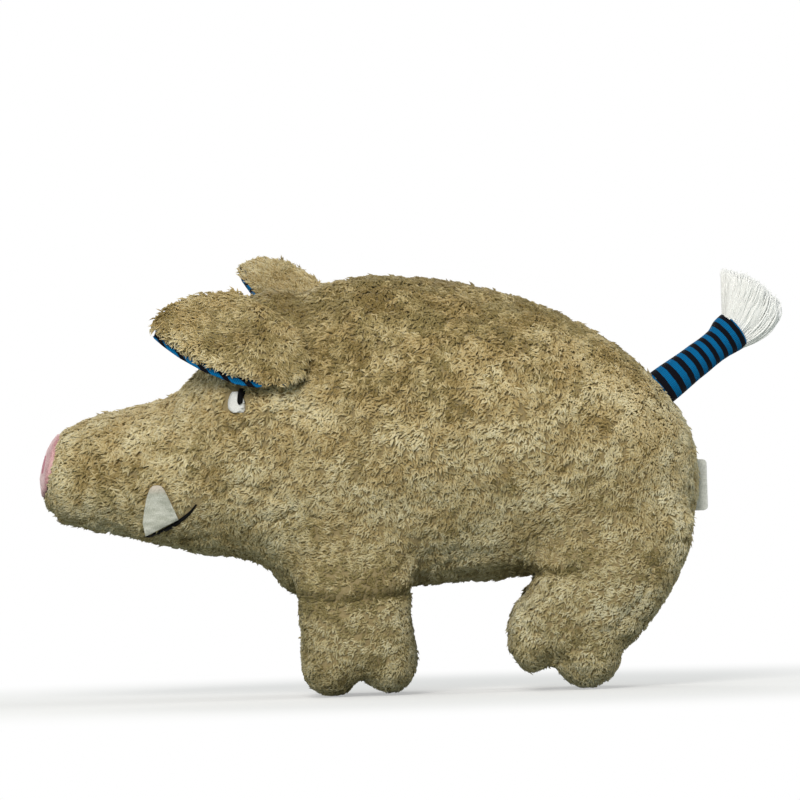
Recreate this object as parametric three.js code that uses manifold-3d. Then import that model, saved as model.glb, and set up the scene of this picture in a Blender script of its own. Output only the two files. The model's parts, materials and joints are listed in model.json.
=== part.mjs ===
import * as THREE from "three";
import { mergeVertices } from "three/addons/utils/BufferGeometryUtils.js";
import Module from "manifold-3d";

const wasm = await Module();
wasm.setup();

// A stuffed wild boar piglet that stands on four legs. Lengths are millimetres and +Z is up.
// The snout points to -X, the tail to +X, and the animal's left side is -Y. While the pieces are
// made, X is zero at the front end of the body form and Z is zero at the floor.

// Fabrics, stitching and the gap that keeps neighbours apart
const plushThickness = 6;
const velourThickness = 2;
const liningThickness = 1.4;
const stitchHeight = 1;
const clearance = 0.3;
const overrun = 6;

// Body
const bodyLength = 222;
const bodyHeight = 158;
const bodyWidth = 112;
const bellyHeight = 52;
const neckOpeningRadius = 32;

// Head, whose back end runs into the body
const headLength = 148;
const headHeight = 147;
const headWidth = 102;
const throatHeight = 61;
const neckDepth = 42;

// Legs and their two toes
const legSpacing = 58;
const legThickness = 45;
const frontLegWidth = 59;
const rearLegWidth = 59;
const legOpeningRadius = 13;
const toeWidth = 40;
const soleDepth = 0.5;

// Snout, nostrils, eyes, tusks and mouth
const snoutPatchHeight = 33;
const snoutPatchWidth = 39;
const snoutPatchTilt = 15;
const nostrilWidth = 6;
const nostrilHeight = 9;
const nostrilSpacing = 20;
const eyeWidth = 10;
const eyeHeight = 13;
const pupilWidth = 3.4;
const pupilHeight = 8.4;
const tuskHeight = 22;
const tuskWidth = 17;
const tuskThickness = 8;
const mouthLineWidth = 2;

// Ears
const earLength = 77;
const earDepth = 50;
const earThickness = 6.4;
const earStandOff = 5.6;
const earFlare = 10;
const earSeat = 10.2;
const liningSetBack = 5.5;
const rightEarLift = 47;
const rightEarTwist = 57;

// Tail, tassel and sewn label
const tailLength = 45;
const tailRootRadius = 9.2;
const tailMouthRadius = 10.3;
const sleeveThickness = 1.2;
const tailLift = 35.8;
const tasselLength = 30;
const tasselSpread = 36.5;
const tasselDepth = 26;
const tasselRootDepth = 10;
const labelHeight = 26;
const labelReach = 3.2;
const labelThickness = 1.2;
const labelCornerRadius = 1.6;

// Resolution of the forms
const fine = { around: 24, steps: 2 };
const coarse = { around: 14, steps: 1 };
const trim = { around: 12, steps: 1 };
const leaf = { around: 16, steps: 1 };
const legOutside = { around: 16, steps: 1 };
const legInside = { around: 10, steps: 1 };
const rodSides = 18;

// A ring of a form is two opposite points of its outline and the half width between them.
// Each table starts and ends with a pole. Its numbers are shares of the form's length, height
// and half width.
const bodyRingShares = [
  [0, 0.48, 0, 0.48, 0],
  [0.023, 0.71, 0.004, 0.25, 0.43],
  [0.068, 0.87, 0.026, 0.07, 0.71],
  [0.136, 0.958, 0.07, -0.002, 0.89],
  [0.217, 0.99, 0.15, -0.008, 0.98],
  [0.308, 0.997, 0.262, 0, 1],
  [0.425, 0.978, 0.407, 0.01, 1],
  [0.552, 0.937, 0.552, 0.022, 1],
  [0.661, 0.877, 0.661, 0.032, 0.99],
  [0.756, 0.81, 0.742, 0.032, 0.965],
  [0.842, 0.731, 0.819, 0.032, 0.9],
  [0.905, 0.64, 0.882, 0.057, 0.8],
  [0.95, 0.555, 0.937, 0.101, 0.64],
  [0.984, 0.45, 0.975, 0.18, 0.43],
  [1, 0.31, 1, 0.31, 0],
];
const headRingShares = [
  [0, 0.35, 0, 0.35, 0],
  [0.027, 0.442, 0.015, 0.25, 0.32],
  [0.064, 0.494, 0.052, 0.198, 0.45],
  [0.125, 0.534, 0.129, 0.173, 0.53],
  [0.205, 0.562, 0.219, 0.157, 0.59],
  [0.3, 0.578, 0.313, 0.13, 0.66],
  [0.394, 0.604, 0.407, 0.105, 0.745],
  [0.481, 0.65, 0.502, 0.084, 0.84],
  [0.549, 0.73, 0.576, 0.065, 0.92],
  [0.61, 0.84, 0.643, 0.052, 0.97],
  [0.67, 0.925, 0.704, 0.037, 1],
  [0.744, 0.97, 0.764, 0.002, 1],
  [0.82, 0.978, 0.825, -0.02, 0.97],
  [0.893, 0.95, 0.893, 0.02, 0.88],
  [0.96, 0.76, 0.946, 0.23, 0.51],
  [1, 0.49, 1, 0.49, 0],
];
// Across a leg the shares are of its width from its middle; along it, of the belly's height.
const frontLegRingShares = [
  [0, 0.15, 0, 0.15, 0],
  [-0.33, 0.17, 0.34, 0.17, 0.62],
  [-0.44, 0.3, 0.46, 0.3, 0.86],
  [-0.485, 0.46, 0.505, 0.46, 0.98],
  [-0.49, 0.7, 0.48, 0.7, 1],
  [-0.51, 0.94, 0.465, 0.94, 1],
  [-0.54, 1.23, 0.5, 1.23, 0.98],
  [-0.5, 1.5, 0.5, 1.5, 0.89],
  [-0.34, 1.69, 0.34, 1.69, 0.62],
  [0, 1.76, 0, 1.76, 0],
];
const rearLegRingShares = [
  [0.02, 0.3, 0.02, 0.3, 0],
  [-0.38, 0.36, 0.36, 0.28, 0.62],
  [-0.5, 0.45, 0.48, 0.36, 0.86],
  [-0.52, 0.62, 0.65, 0.54, 0.98],
  [-0.43, 0.83, 0.785, 0.75, 1.02],
  [-0.29, 1.04, 0.94, 1, 1.02],
  [-0.2, 1.31, 1.06, 1.31, 0.98],
  [-0.12, 1.58, 1.12, 1.6, 0.86],
  [0.034, 1.78, 1, 1.82, 0.6],
  [0.48, 1.9, 0.48, 1.9, 0],
];
// Toes: place from the leg's middle, length, height and rise above the sole.
const frontToeShares = [
  [-0.225, 0.26, 0.34, 0],
  [0.262, 0.258, 0.33, 0.02],
];
const rearToeShares = [
  [-0.28, 0.24, 0.33, 0.165],
  [0.165, 0.322, 0.38, 0],
];
// Across the ear the second and fourth numbers are shares of its depth, from its lower edge.
const earRingShares = [
  [0, 0.65, 0, 0.65, 0],
  [0.03, 0.72, 0.03, 0.55, 0.45],
  [0.1, 0.81, 0.1, 0.45, 0.72],
  [0.2, 0.89, 0.2, 0.33, 0.88],
  [0.35, 0.945, 0.35, 0.19, 0.96],
  [0.55, 0.965, 0.55, 0.06, 1],
  [0.7, 0.84, 0.7, 0.01, 1],
  [0.88, 0.63, 0.88, 0.01, 0.95],
  [0.965, 0.49, 0.965, 0.08, 0.7],
  [1, 0.27, 1, 0.27, 0],
];
// Across the right ear the shares are of the ear's depth from the middle of its root, along it
// of its length.
const rightEarRingShares = [
  [0.06, -0.03, 0.06, -0.03, 0],
  [-0.22, -0.01, 0.36, -0.01, 0.8],
  [-0.3, 0.16, 0.45, 0.12, 1],
  [-0.36, 0.36, 0.47, 0.27, 1],
  [-0.38, 0.55, 0.42, 0.42, 1],
  [-0.34, 0.69, 0.31, 0.54, 0.9],
  [-0.25, 0.77, 0.11, 0.64, 0.65],
  [-0.1, 0.77, -0.1, 0.77, 0],
];
// Along the tusk the shares are of its height, across it of its width.
const tuskRingShares = [
  [-0.1, -0.06, -0.1, -0.06, 0],
  [0.5, 0.14, -0.52, -0.17, 0.9],
  [0.38, 0.42, -0.5, 0.12, 1],
  [0.17, 0.7, -0.4, 0.56, 0.8],
  [0.02, 0.89, -0.28, 0.85, 0.55],
  [-0.14, 0.96, -0.14, 0.96, 0],
];
const tasselRootShares = [
  [-0.9, 0.1],
  [-0.3, 0.115],
];
// Along the tassel the shares are of its length, across it of its spread, beside it of its depth.
const tasselRingShares = [
  [0.04, 0.15, 0.04, -0.13, 0.3],
  [0.17, 0.34, 0.14, -0.25, 0.6],
  [0.34, 0.57, 0.26, -0.33, 0.84],
  [0.5, 0.72, 0.5, -0.27, 1],
  [0.72, 0.66, 0.76, -0.17, 0.94],
  [0.89, 0.5, 0.93, -0.03, 0.6],
  [0.97, 0.22, 0.97, 0.22, 0],
];
// The mouth line's points as shares of the head's length and height.
const mouthLineShares = [
  [0.343, 0.146],
  [0.388, 0.16],
  [0.439, 0.184],
  [0.47, 0.202],
  [0.498, 0.232],
  [0.523, 0.263],
];
const legPlaceShares = { front: 0.217, rear: 0.688 };
const legOpeningShares = { front: 0, rear: 0.3 };
const eyePlaceShare = [0.657, 0.599];
const pupilShare = [0.22, 0.12];
const tuskPlaceShare = [0.39, 0.175];
const earPlaceShare = [0.38, 0.64];
const earRootShares = [
  [0.68, 0.88],
  [0.97, 0.4],
];
const labelPlaceShare = 0.3;
const tailPlaceShare = [0.895, 0.588];
const fullness = 2.3;
const legFullness = 2.6;

// Where the main forms lie
const headStart = neckDepth - headLength;
const headMiddle = throatHeight + headHeight / 2;
const legSide = legSpacing / 2;
const gapAndStitch = clearance + stitchHeight;

// Helpers

function place(shares, startX, startZ, sizeX, sizeZ, sizeY) {
  return shares.map(([x1, z1, x2, z2, half]) => [
    startX + x1 * sizeX,
    startZ + z1 * sizeZ,
    startX + x2 * sizeX,
    startZ + z2 * sizeZ,
    half * sizeY,
  ]);
}

// A closed form through rings of superelliptic section, with a pole at each end.
function plumpForm(rings, detail, roundness = fullness, middleY = 0) {
  const upper = new THREE.CatmullRomCurve3(rings.map((r) => new THREE.Vector3(r[0], r[4], r[1])));
  const lower = new THREE.CatmullRomCurve3(rings.map((r) => new THREE.Vector3(r[2], r[4], r[3])));
  const rows = (rings.length - 1) * detail.steps;
  const points = [];
  for (let row = 0; row <= rows; row += 1) {
    const high = upper.getPoint(row / rows);
    const low = lower.getPoint(row / rows);
    const middle = high.clone().add(low).multiplyScalar(0.5);
    const count = row === 0 || row === rows ? 1 : detail.around;
    for (let step = 0; step < count; step += 1) {
      const angle = (2 * Math.PI * step) / count;
      const across = count === 1 ? 0 : Math.cos(angle);
      const up = count === 1 ? 0 : Math.sin(angle);
      const bulge = Math.sign(across) * Math.abs(across) ** (2 / roundness);
      const rise = Math.sign(up) * Math.abs(up) ** (2 / roundness);
      const point = middle.clone().addScaledVector(high.clone().sub(middle), rise);
      points.push(point.x, middleY + middle.y * bulge, point.z);
    }
  }
  return closedForm(points, loftFaces(rows, detail.around));
}

function loftFaces(rows, around) {
  const at = (row, step) => (row === 0 ? 0 : 1 + (row - 1) * around + (step % around));
  const last = 1 + (rows - 1) * around;
  const faces = [];
  for (let step = 0; step < around; step += 1) {
    faces.push(0, at(1, step + 1), at(1, step));
    for (let row = 1; row < rows - 1; row += 1) {
      faces.push(at(row, step), at(row, step + 1), at(row + 1, step));
      faces.push(at(row, step + 1), at(row + 1, step + 1), at(row + 1, step));
    }
    faces.push(last, at(rows - 1, step), at(rows - 1, step + 1));
  }
  return faces;
}

// A geometry of shared corners whose faces point outwards.
function closedForm(points, faces) {
  const geometry = new THREE.BufferGeometry();
  geometry.setAttribute("position", new THREE.BufferAttribute(new Float32Array(points), 3));
  geometry.setIndex(faces);
  const corners = geometry.getAttribute("position");
  const [a, b, c] = [new THREE.Vector3(), new THREE.Vector3(), new THREE.Vector3()];
  let volume = 0;
  for (let i = 0; i < faces.length; i += 3) {
    a.fromBufferAttribute(corners, faces[i]);
    b.fromBufferAttribute(corners, faces[i + 1]);
    c.fromBufferAttribute(corners, faces[i + 2]);
    volume += a.dot(b.cross(c));
  }
  if (volume < 0) geometry.setIndex(turned(faces));
  return geometry;
}

function turned(faces) {
  const other = Array.from(faces);
  for (let i = 0; i < other.length; i += 3) {
    [other[i + 1], other[i + 2]] = [other[i + 2], other[i + 1]];
  }
  return other;
}

// The same form with each point moved out along its normal, or in where the distance is negative.
function swollen(geometry, distance) {
  const other = geometry.clone();
  other.computeVertexNormals();
  const normals = other.getAttribute("normal");
  const corners = other.getAttribute("position");
  for (let i = 0; i < corners.count; i += 1) {
    const corner = new THREE.Vector3().fromBufferAttribute(corners, i);
    corner.addScaledVector(new THREE.Vector3().fromBufferAttribute(normals, i), distance);
    corners.setXYZ(i, corner.x, corner.y, corner.z);
  }
  other.deleteAttribute("normal");
  return other;
}

function solid(geometry) {
  const bare = new THREE.BufferGeometry();
  bare.setAttribute("position", geometry.getAttribute("position").clone());
  if (geometry.index) bare.setIndex(geometry.index.clone());
  const merged = mergeVertices(bare);
  return new wasm.Manifold(
    new wasm.Mesh({
      numProp: 3,
      vertProperties: new Float32Array(merged.getAttribute("position").array),
      triVerts: new Uint32Array(merged.index.array),
    }),
  );
}

function geometryOf(manifold) {
  const cut = manifold.getMesh();
  const geometry = new THREE.BufferGeometry();
  const points = new Float32Array(cut.vertProperties);
  geometry.setAttribute("position", new THREE.BufferAttribute(points, 3));
  geometry.setIndex(Array.from(cut.triVerts));
  return geometry;
}

function mirrored(geometry) {
  const other = geometry.clone().applyMatrix4(new THREE.Matrix4().makeScale(1, -1, 1));
  other.setIndex(turned(other.index.array));
  return other;
}

// Where a ray from inside a form leaves it.
function surfacePoint(geometry, from, direction) {
  const form = new THREE.Mesh(geometry, new THREE.MeshBasicMaterial({ side: THREE.DoubleSide }));
  const hits = new THREE.Raycaster(from, direction.clone().normalize()).intersectObject(form);
  return hits[hits.length - 1].point;
}

// A round rod from a point in some direction.
function rod(from, towards, length, radius) {
  const geometry = new THREE.CylinderGeometry(radius, radius, length, rodSides);
  geometry.translate(0, length / 2, 0);
  const direction = towards.clone().normalize();
  geometry.applyQuaternion(
    new THREE.Quaternion().setFromUnitVectors(new THREE.Vector3(0, 1, 0), direction),
  );
  geometry.translate(from.x, from.y, from.z);
  return solid(geometry);
}

// A flat outline in the side view, run through the left half of the animal.
function leftPrism(shape) {
  const geometry = new THREE.ExtrudeGeometry(shape, {
    depth: bodyWidth,
    bevelEnabled: false,
    curveSegments: coarse.around / 2,
  });
  geometry.rotateX(Math.PI / 2);
  return solid(geometry);
}

// The layer of a form's surface between two distances, where it lies in the cutter.
function patch(form, from, to, cutter) {
  return solid(swollen(form, to)).subtract(solid(swollen(form, from))).intersect(cutter);
}

function ovalShape(x, z, width, height) {
  const shape = new THREE.Shape();
  shape.absellipse(x, z, width / 2, height / 2, 0, 2 * Math.PI, false, 0);
  return shape;
}

function sub(name, geometry, colour, roughness) {
  const material = new THREE.MeshStandardMaterial({ color: colour, roughness, metalness: 0 });
  const mesh = new THREE.Mesh(geometry, material);
  mesh.name = name;
  return mesh;
}

// Colours
const plushColour = 0x9a8862;
const stuffingColour = 0xf0eee8;
const velourColour = 0xc8958a;
const nostrilColour = 0xc0605e;
const liningColour = 0x14618f;
const tasselColour = 0xe8e8e2;
const feltColour = 0xd6d6c2;
const threadBlack = 0x14141a;
const threadWhite = 0xe9e9ee;
const labelColour = 0xdcdcde;
const clothRoughness = 0.95;
const threadRoughness = 0.6;

// Body: a plush skin, open at the neck and over each leg, and the stuffing that fills it

const bodyRings = place(bodyRingShares, 0, bellyHeight, bodyLength, bodyHeight, bodyWidth / 2);
const bodyForm = plumpForm(bodyRings, fine);
const bodyInside = plumpForm(bodyRings, coarse);
const bodyRoom = solid(swollen(bodyForm, clearance));

const legPlaces = {
  front: bodyLength * legPlaceShares.front,
  rear: bodyLength * legPlaceShares.rear,
};
const openingPlaces = [
  legPlaces.front + legOpeningShares.front * frontLegWidth,
  legPlaces.rear + legOpeningShares.rear * rearLegWidth,
];

function bodyOpenings(shrink) {
  const backwards = new THREE.Vector3(1, 0, 0);
  const upwards = new THREE.Vector3(0, 0, 1);
  const neckStart = new THREE.Vector3(-overrun, 0, headMiddle);
  const reach = bodyLength / 5;
  const rods = [rod(neckStart, backwards, overrun + reach, neckOpeningRadius - shrink)];
  for (const x of openingPlaces) {
    for (const y of [-legSide, legSide]) {
      const start = new THREE.Vector3(x, y, bellyHeight - overrun);
      rods.push(rod(start, upwards, overrun + reach, legOpeningRadius - shrink));
    }
  }
  return rods.reduce((all, next) => all.add(next));
}

const bodySkin = solid(bodyForm)
  .subtract(solid(swollen(bodyInside, -plushThickness)))
  .subtract(bodyOpenings(0));
const bodyStuffing = solid(swollen(bodyInside, -plushThickness - clearance)).add(
  bodyOpenings(clearance).intersect(solid(bodyForm)),
);

// Head: sewn to the body, whose front end it fits over

const headRings = place(headRingShares, headStart, throatHeight, headLength, headHeight, headWidth / 2);
const headForm = plumpForm(headRings, fine);
const headInside = plumpForm(headRings, coarse);
const headRoom = solid(swollen(headForm, clearance));
const headSkin = solid(headForm)
  .subtract(solid(swollen(headInside, -plushThickness)))
  .subtract(bodyRoom);
const headStuffing = solid(swollen(headInside, -plushThickness - clearance)).subtract(bodyRoom);

function headX(share) {
  return headStart + share * headLength;
}

function headZ(share) {
  return throatHeight + share * headHeight;
}

// Legs: a shaft with two toes, cut by the body and the head, and cut flat where it stands

function legSolid(ringShares, toeShares, middleX, width, detail, inset) {
  const rings = place(ringShares, middleX, 0, width, bellyHeight, legThickness / 2);
  let form = solid(swollen(plumpForm(rings, detail, legFullness, -legSide), -inset));
  for (const [along, length, height, rise] of toeShares) {
    const toe = mergeVertices(bareSphere(detail.around));
    const toeHeight = height * bellyHeight;
    toe.scale(length * width - inset, toeWidth / 2 - inset, toeHeight - inset);
    const lift = toeHeight - soleDepth + rise * bellyHeight;
    toe.translate(middleX + along * width, -legSide, lift);
    form = form.add(solid(toe));
  }
  return form;
}

function bareSphere(around) {
  const sphere = new THREE.SphereGeometry(1, around, around / 2);
  sphere.deleteAttribute("normal");
  sphere.deleteAttribute("uv");
  return sphere.rotateX(Math.PI / 2);
}

function underFloor() {
  const block = new THREE.BoxGeometry(3 * bodyLength, 3 * bodyWidth, bellyHeight);
  block.translate(bodyLength / 2, 0, -bellyHeight / 2);
  return solid(block);
}

function leg(ringShares, toeShares, middleX, width) {
  const outside = legSolid(ringShares, toeShares, middleX, width, legOutside, 0);
  const room = legSolid(ringShares, toeShares, middleX, width, legInside, plushThickness);
  const fill = legSolid(
    ringShares,
    toeShares,
    middleX,
    width,
    legInside,
    plushThickness + clearance,
  );
  return {
    skin: outside.subtract(room).subtract(bodyRoom).subtract(headRoom).subtract(underFloor()),
    stuffing: fill.subtract(bodyRoom).subtract(headRoom),
  };
}

const frontLeg = leg(frontLegRingShares, frontToeShares, legPlaces.front, frontLegWidth);
const rearLeg = leg(rearLegRingShares, rearToeShares, legPlaces.rear, rearLegWidth);

// Snout: a velour patch over its end, with a stitched nostril on each side

const snoutTilt = THREE.MathUtils.degToRad(snoutPatchTilt);
const snoutAhead = new THREE.Vector3(-Math.cos(snoutTilt), 0, Math.sin(snoutTilt));
const snoutMiddle = new THREE.Vector3(headX(0.04), 0, headZ(0.39));
const patchTop = clearance + velourThickness;

function snoutRod(y, width, height) {
  const start = snoutMiddle.clone().addScaledVector(snoutAhead, -overrun);
  const turnedRod = new THREE.CylinderGeometry(1, 1, 4 * overrun, rodSides);
  turnedRod.translate(0, 2 * overrun, 0);
  turnedRod.rotateZ(Math.PI / 2);
  turnedRod.scale(1, width / 2, height / 2);
  turnedRod.rotateY(snoutTilt);
  turnedRod.translate(start.x, y, start.z);
  return solid(turnedRod);
}

const snoutPatch = patch(headForm, clearance, patchTop, snoutRod(0, snoutPatchWidth, snoutPatchHeight));
const nostril = patch(
  headForm,
  patchTop + clearance,
  patchTop + gapAndStitch,
  snoutRod(-nostrilSpacing / 2, nostrilWidth, nostrilHeight),
);

// Eyes: white satin stitch with a black pupil on it

const eyeX = headX(eyePlaceShare[0]);
const eyeZ = headZ(eyePlaceShare[1]);
const eyeWhite = patch(
  headForm,
  clearance,
  gapAndStitch,
  leftPrism(ovalShape(eyeX, eyeZ, eyeWidth, eyeHeight)),
);
const pupilX = eyeX + pupilShare[0] * eyeWidth;
const pupilZ = eyeZ + pupilShare[1] * eyeHeight;
const pupil = patch(
  headForm,
  gapAndStitch + clearance,
  2 * gapAndStitch,
  leftPrism(ovalShape(pupilX, pupilZ, pupilWidth, pupilHeight)),
);

// Mouth: a stitched line from under the tusk to the cheek

function ribbonShape(points, width) {
  const line = new THREE.SplineCurve(points);
  const steps = 2 * points.length;
  const sides = [[], []];
  for (let step = 0; step <= steps; step += 1) {
    const point = line.getPoint(step / steps);
    const along = line.getTangent(step / steps);
    const across = new THREE.Vector2(-along.y, along.x).multiplyScalar(width / 2);
    sides[0].push(point.clone().add(across));
    sides[1].unshift(point.clone().sub(across));
  }
  return new THREE.Shape([...sides[0], ...sides[1]]);
}

const mouthPoints = mouthLineShares.map(([x, z]) => new THREE.Vector2(headX(x), headZ(z)));
const mouthLine = patch(
  headForm,
  clearance,
  gapAndStitch,
  leftPrism(ribbonShape(mouthPoints, mouthLineWidth)),
);

// Tusks: a felt cone that leans on the cheek, sewn in at its foot

const tuskX = headX(tuskPlaceShare[0]);
const tuskZ = headZ(tuskPlaceShare[1]);
const sideways = new THREE.Vector3(0, -1, 0);
const cheek = surfacePoint(headForm, new THREE.Vector3(tuskX, 0, tuskZ + tuskHeight / 2), sideways);
const tuskRings = place(tuskRingShares, tuskX, tuskZ, tuskWidth, tuskHeight, tuskThickness / 2);
const tuskForm = plumpForm(tuskRings, trim, fullness, cheek.y - tuskThickness / 4);
const tusk = solid(tuskForm).subtract(solid(swollen(headForm, gapAndStitch + clearance)));

// Ears: plush leaves lined with jersey, sewn to the head along one edge. Each is made flat, with
// its thickness along Y, and is then bent on a surface of its own.

const earX = headX(earPlaceShare[0]);
const earZ = headZ(earPlaceShare[1]);
const earTop = earZ + earDepth;
const earBend = {
  wide: headWidth / 2 + earStandOff,
  high: headHeight / 2 + earStandOff,
};

// The left ear hangs round the head's widest section. It flares out at its lower edge and comes
// in to the seam at its rear one.
function hangingSurface(x, z) {
  const rise = Math.min(Math.abs(z - headMiddle) / earBend.high, 1);
  const flare = earFlare * ((earTop - z) / earDepth) ** 2;
  const seat = earSeat * ((x - earX) / earLength) ** 2;
  const y = seat - flare - earBend.wide * (1 - rise ** fullness) ** (1 / fullness);
  return new THREE.Vector3(x, y, z);
}

const earRings = place(earRingShares, earX, earZ, earLength, earDepth, earThickness / 2);
const leftEarRoot = earRootShares.map(([x, z]) => {
  return hangingSurface(earX + x * earLength, earZ + z * earDepth);
});
const rightEarRoot = leftEarRoot.map((point) => point.clone().setY(-point.y));
const rightEarMiddle = rightEarRoot[0].clone().add(rightEarRoot[1]).multiplyScalar(0.5);
const rightEarAlong = rightEarRoot[1].clone().sub(rightEarRoot[0]).normalize();
const rightEarOut = rightEarAlong.clone().cross(new THREE.Vector3(0, 0, -1)).normalize();
const rightEarUp = rightEarOut.clone().cross(rightEarAlong).negate();

// The right ear stands out from the head, lifted more at its rear edge than at its front one.
function standingSurface(across, along) {
  const lift = THREE.MathUtils.degToRad(rightEarLift + (rightEarTwist * across) / earDepth);
  return rightEarMiddle
    .clone()
    .addScaledVector(rightEarAlong, across)
    .addScaledVector(rightEarOut, along * Math.cos(lift))
    .addScaledVector(rightEarUp, along * Math.sin(lift));
}

function bentForm(geometry, surface) {
  const other = geometry.clone();
  const corners = other.getAttribute("position");
  for (let i = 0; i < corners.count; i += 1) {
    const [u, thickness, v] = [corners.getX(i), corners.getY(i), corners.getZ(i)];
    const alongU = surface(u + clearance, v).sub(surface(u - clearance, v));
    const alongV = surface(u, v + clearance).sub(surface(u, v - clearance));
    const normal = alongU.cross(alongV).normalize();
    const corner = surface(u, v).addScaledVector(normal, -thickness);
    corners.setXYZ(i, corner.x, corner.y, corner.z);
  }
  return other;
}

// The lining covers the leaf's inner side and turns a little round its edges.
function lining(flat, rings, surface) {
  const rows = (rings.length - 1) * leaf.steps;
  const wide = leaf.around / 2 + 1;
  const long = rows - 1;
  const points = [];
  for (const rise of [clearance, clearance + liningThickness]) {
    const layer = bentForm(swollen(flat, rise), surface).getAttribute("position");
    for (let row = 1; row < rows; row += 1) {
      for (let step = 0; step < wide; step += 1) {
        const turn = (step + leaf.around - leaf.around / 4) % leaf.around;
        const index = 1 + (row - 1) * leaf.around + turn;
        points.push(layer.getX(index), layer.getY(index), layer.getZ(index));
      }
    }
  }
  const at = (row, step) => row * wide + step;
  const other = wide * long;
  const faces = [];
  for (let row = 0; row < long - 1; row += 1) {
    for (let step = 0; step < wide - 1; step += 1) {
      const [a, b] = [at(row, step), at(row, step + 1)];
      const [c, d] = [at(row + 1, step), at(row + 1, step + 1)];
      faces.push(a, b, c, b, d, c);
      faces.push(a + other, c + other, b + other, b + other, c + other, d + other);
    }
  }
  const rim = [];
  for (let step = 0; step < wide - 1; step += 1) rim.push(at(0, step));
  for (let row = 0; row < long - 1; row += 1) rim.push(at(row, wide - 1));
  for (let step = wide - 1; step > 0; step -= 1) rim.push(at(long - 1, step));
  for (let row = long - 1; row > 0; row -= 1) rim.push(at(row, 0));
  rim.forEach((corner, i) => {
    const next = rim[(i + 1) % rim.length];
    faces.push(corner, corner + other, next, next, corner + other, next + other);
  });
  return closedForm(points, faces);
}

const leftEarFlat = plumpForm(earRings, leaf);
const rightEarRings = place(rightEarRingShares, 0, 0, earDepth, earLength, earThickness / 2);
const rightEarFlat = plumpForm(rightEarRings, leaf);
const earRoom = headRoom.add(bodyRoom);

// The lining stops short of the hinge, so that it doesn't pinch the head's plush.
function besideHinge(root) {
  const along = root[1].clone().sub(root[0]).normalize();
  const start = root[0].clone().addScaledVector(along, -earDepth / 2);
  return rod(start, along, 2 * earDepth, liningSetBack);
}

const leftEarPlush = solid(bentForm(leftEarFlat, hangingSurface)).subtract(earRoom);
const leftEarLining = solid(lining(leftEarFlat, earRings, hangingSurface))
  .subtract(earRoom)
  .subtract(besideHinge(leftEarRoot));
const rightEarPlush = solid(bentForm(rightEarFlat, standingSurface)).subtract(earRoom);
const rightEarLining = solid(lining(rightEarFlat, rightEarRings, standingSurface))
  .subtract(earRoom)
  .subtract(besideHinge(rightEarRoot));

// A group at a hinge, whose X axis lies along it, round meshes made in the pig's own frame.
function hinged(root, meshes) {
  const group = new THREE.Group();
  const axis = root[1].clone().sub(root[0]).normalize();
  group.position.copy(root[0]).add(root[1]).multiplyScalar(1 / 2);
  group.quaternion.setFromUnitVectors(new THREE.Vector3(1, 0, 0), axis);
  group.updateMatrixWorld(true);
  for (const mesh of meshes) group.attach(mesh);
  return group;
}

// Tail: a jersey sleeve round a stuffed core, made along +X from its pivot and lifted behind the
// rump. Its closed end is round about the pivot, so that it clears the rump when it wags.

const tailAngle = THREE.MathUtils.degToRad(tailLift);
const tailAhead = new THREE.Vector3(Math.cos(tailAngle), 0, Math.sin(tailAngle));
const tailInside = new THREE.Vector3(
  tailPlaceShare[0] * bodyLength,
  0,
  bellyHeight + tailPlaceShare[1] * bodyHeight,
).addScaledVector(tailAhead, -tailLength / 2);
const rump = surfacePoint(bodyForm, tailInside, tailAhead);
const tailPivot = rump.clone().addScaledVector(tailAhead, tailRootRadius + clearance);
const mouthReach = tailLength - tailRootRadius;
const coreReach = mouthReach - tasselRootDepth - clearance;

// Points of a round end about the pivot, from the axis to its side.
function roundEnd(radius) {
  const points = [];
  const steps = coarse.around / 4;
  for (let step = 0; step <= steps; step += 1) {
    const angle = (Math.PI / 2) * (step / steps);
    points.push(new THREE.Vector2(radius * Math.sin(angle), -radius * Math.cos(angle)));
  }
  return points;
}

function spunAlongX(points) {
  const geometry = new THREE.LatheGeometry(points, leaf.around);
  geometry.deleteAttribute("normal");
  geometry.deleteAttribute("uv");
  geometry.rotateZ(-Math.PI / 2);
  const merged = mergeVertices(geometry);
  return closedForm(merged.getAttribute("position").array, Array.from(merged.index.array));
}

const innerRoot = tailRootRadius - sleeveThickness;
const innerMouth = tailMouthRadius - sleeveThickness;
const hem = sleeveThickness;
const sleeve = spunAlongX([
  ...roundEnd(tailRootRadius),
  new THREE.Vector2(tailRootRadius, mouthReach / 2),
  new THREE.Vector2(tailMouthRadius, mouthReach - hem),
  new THREE.Vector2(tailMouthRadius, mouthReach),
  new THREE.Vector2(innerMouth, mouthReach),
  new THREE.Vector2(innerMouth - hem / 2, mouthReach - hem),
  new THREE.Vector2(innerRoot, mouthReach / 2),
  ...roundEnd(innerRoot).reverse(),
]);
const coreRadius = innerRoot - clearance;
const tailCore = spunAlongX([
  ...roundEnd(coreRadius),
  new THREE.Vector2(coreRadius, coreReach - hem),
  new THREE.Vector2(0, coreReach),
]);

// Tassel: its bound root sits on the core, and its strands fan out of the sleeve's mouth.
const rootRings = tasselRootShares.map(([along, half]) => [
  along * tasselRootDepth,
  half * tasselDepth,
  along * tasselRootDepth,
  -half * tasselDepth,
  half * tasselDepth,
]);
const tasselRings = [
  [-tasselRootDepth, 0, -tasselRootDepth, 0, 0],
  ...rootRings,
  ...place(tasselRingShares, 0, 0, tasselLength, tasselSpread, tasselDepth / 2),
];
const tassel = plumpForm(tasselRings, trim);

// Label: a folded tape in the rear seam, standing straight back from it

const labelMiddle = bellyHeight + labelPlaceShare * bodyHeight;
const seam = surfacePoint(
  bodyForm,
  new THREE.Vector3(bodyLength / 2, 0, labelMiddle),
  new THREE.Vector3(1, 0, 0),
);
const labelHinge = new THREE.Vector3(seam.x + clearance + labelThickness / 2, 0, labelMiddle);

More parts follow.
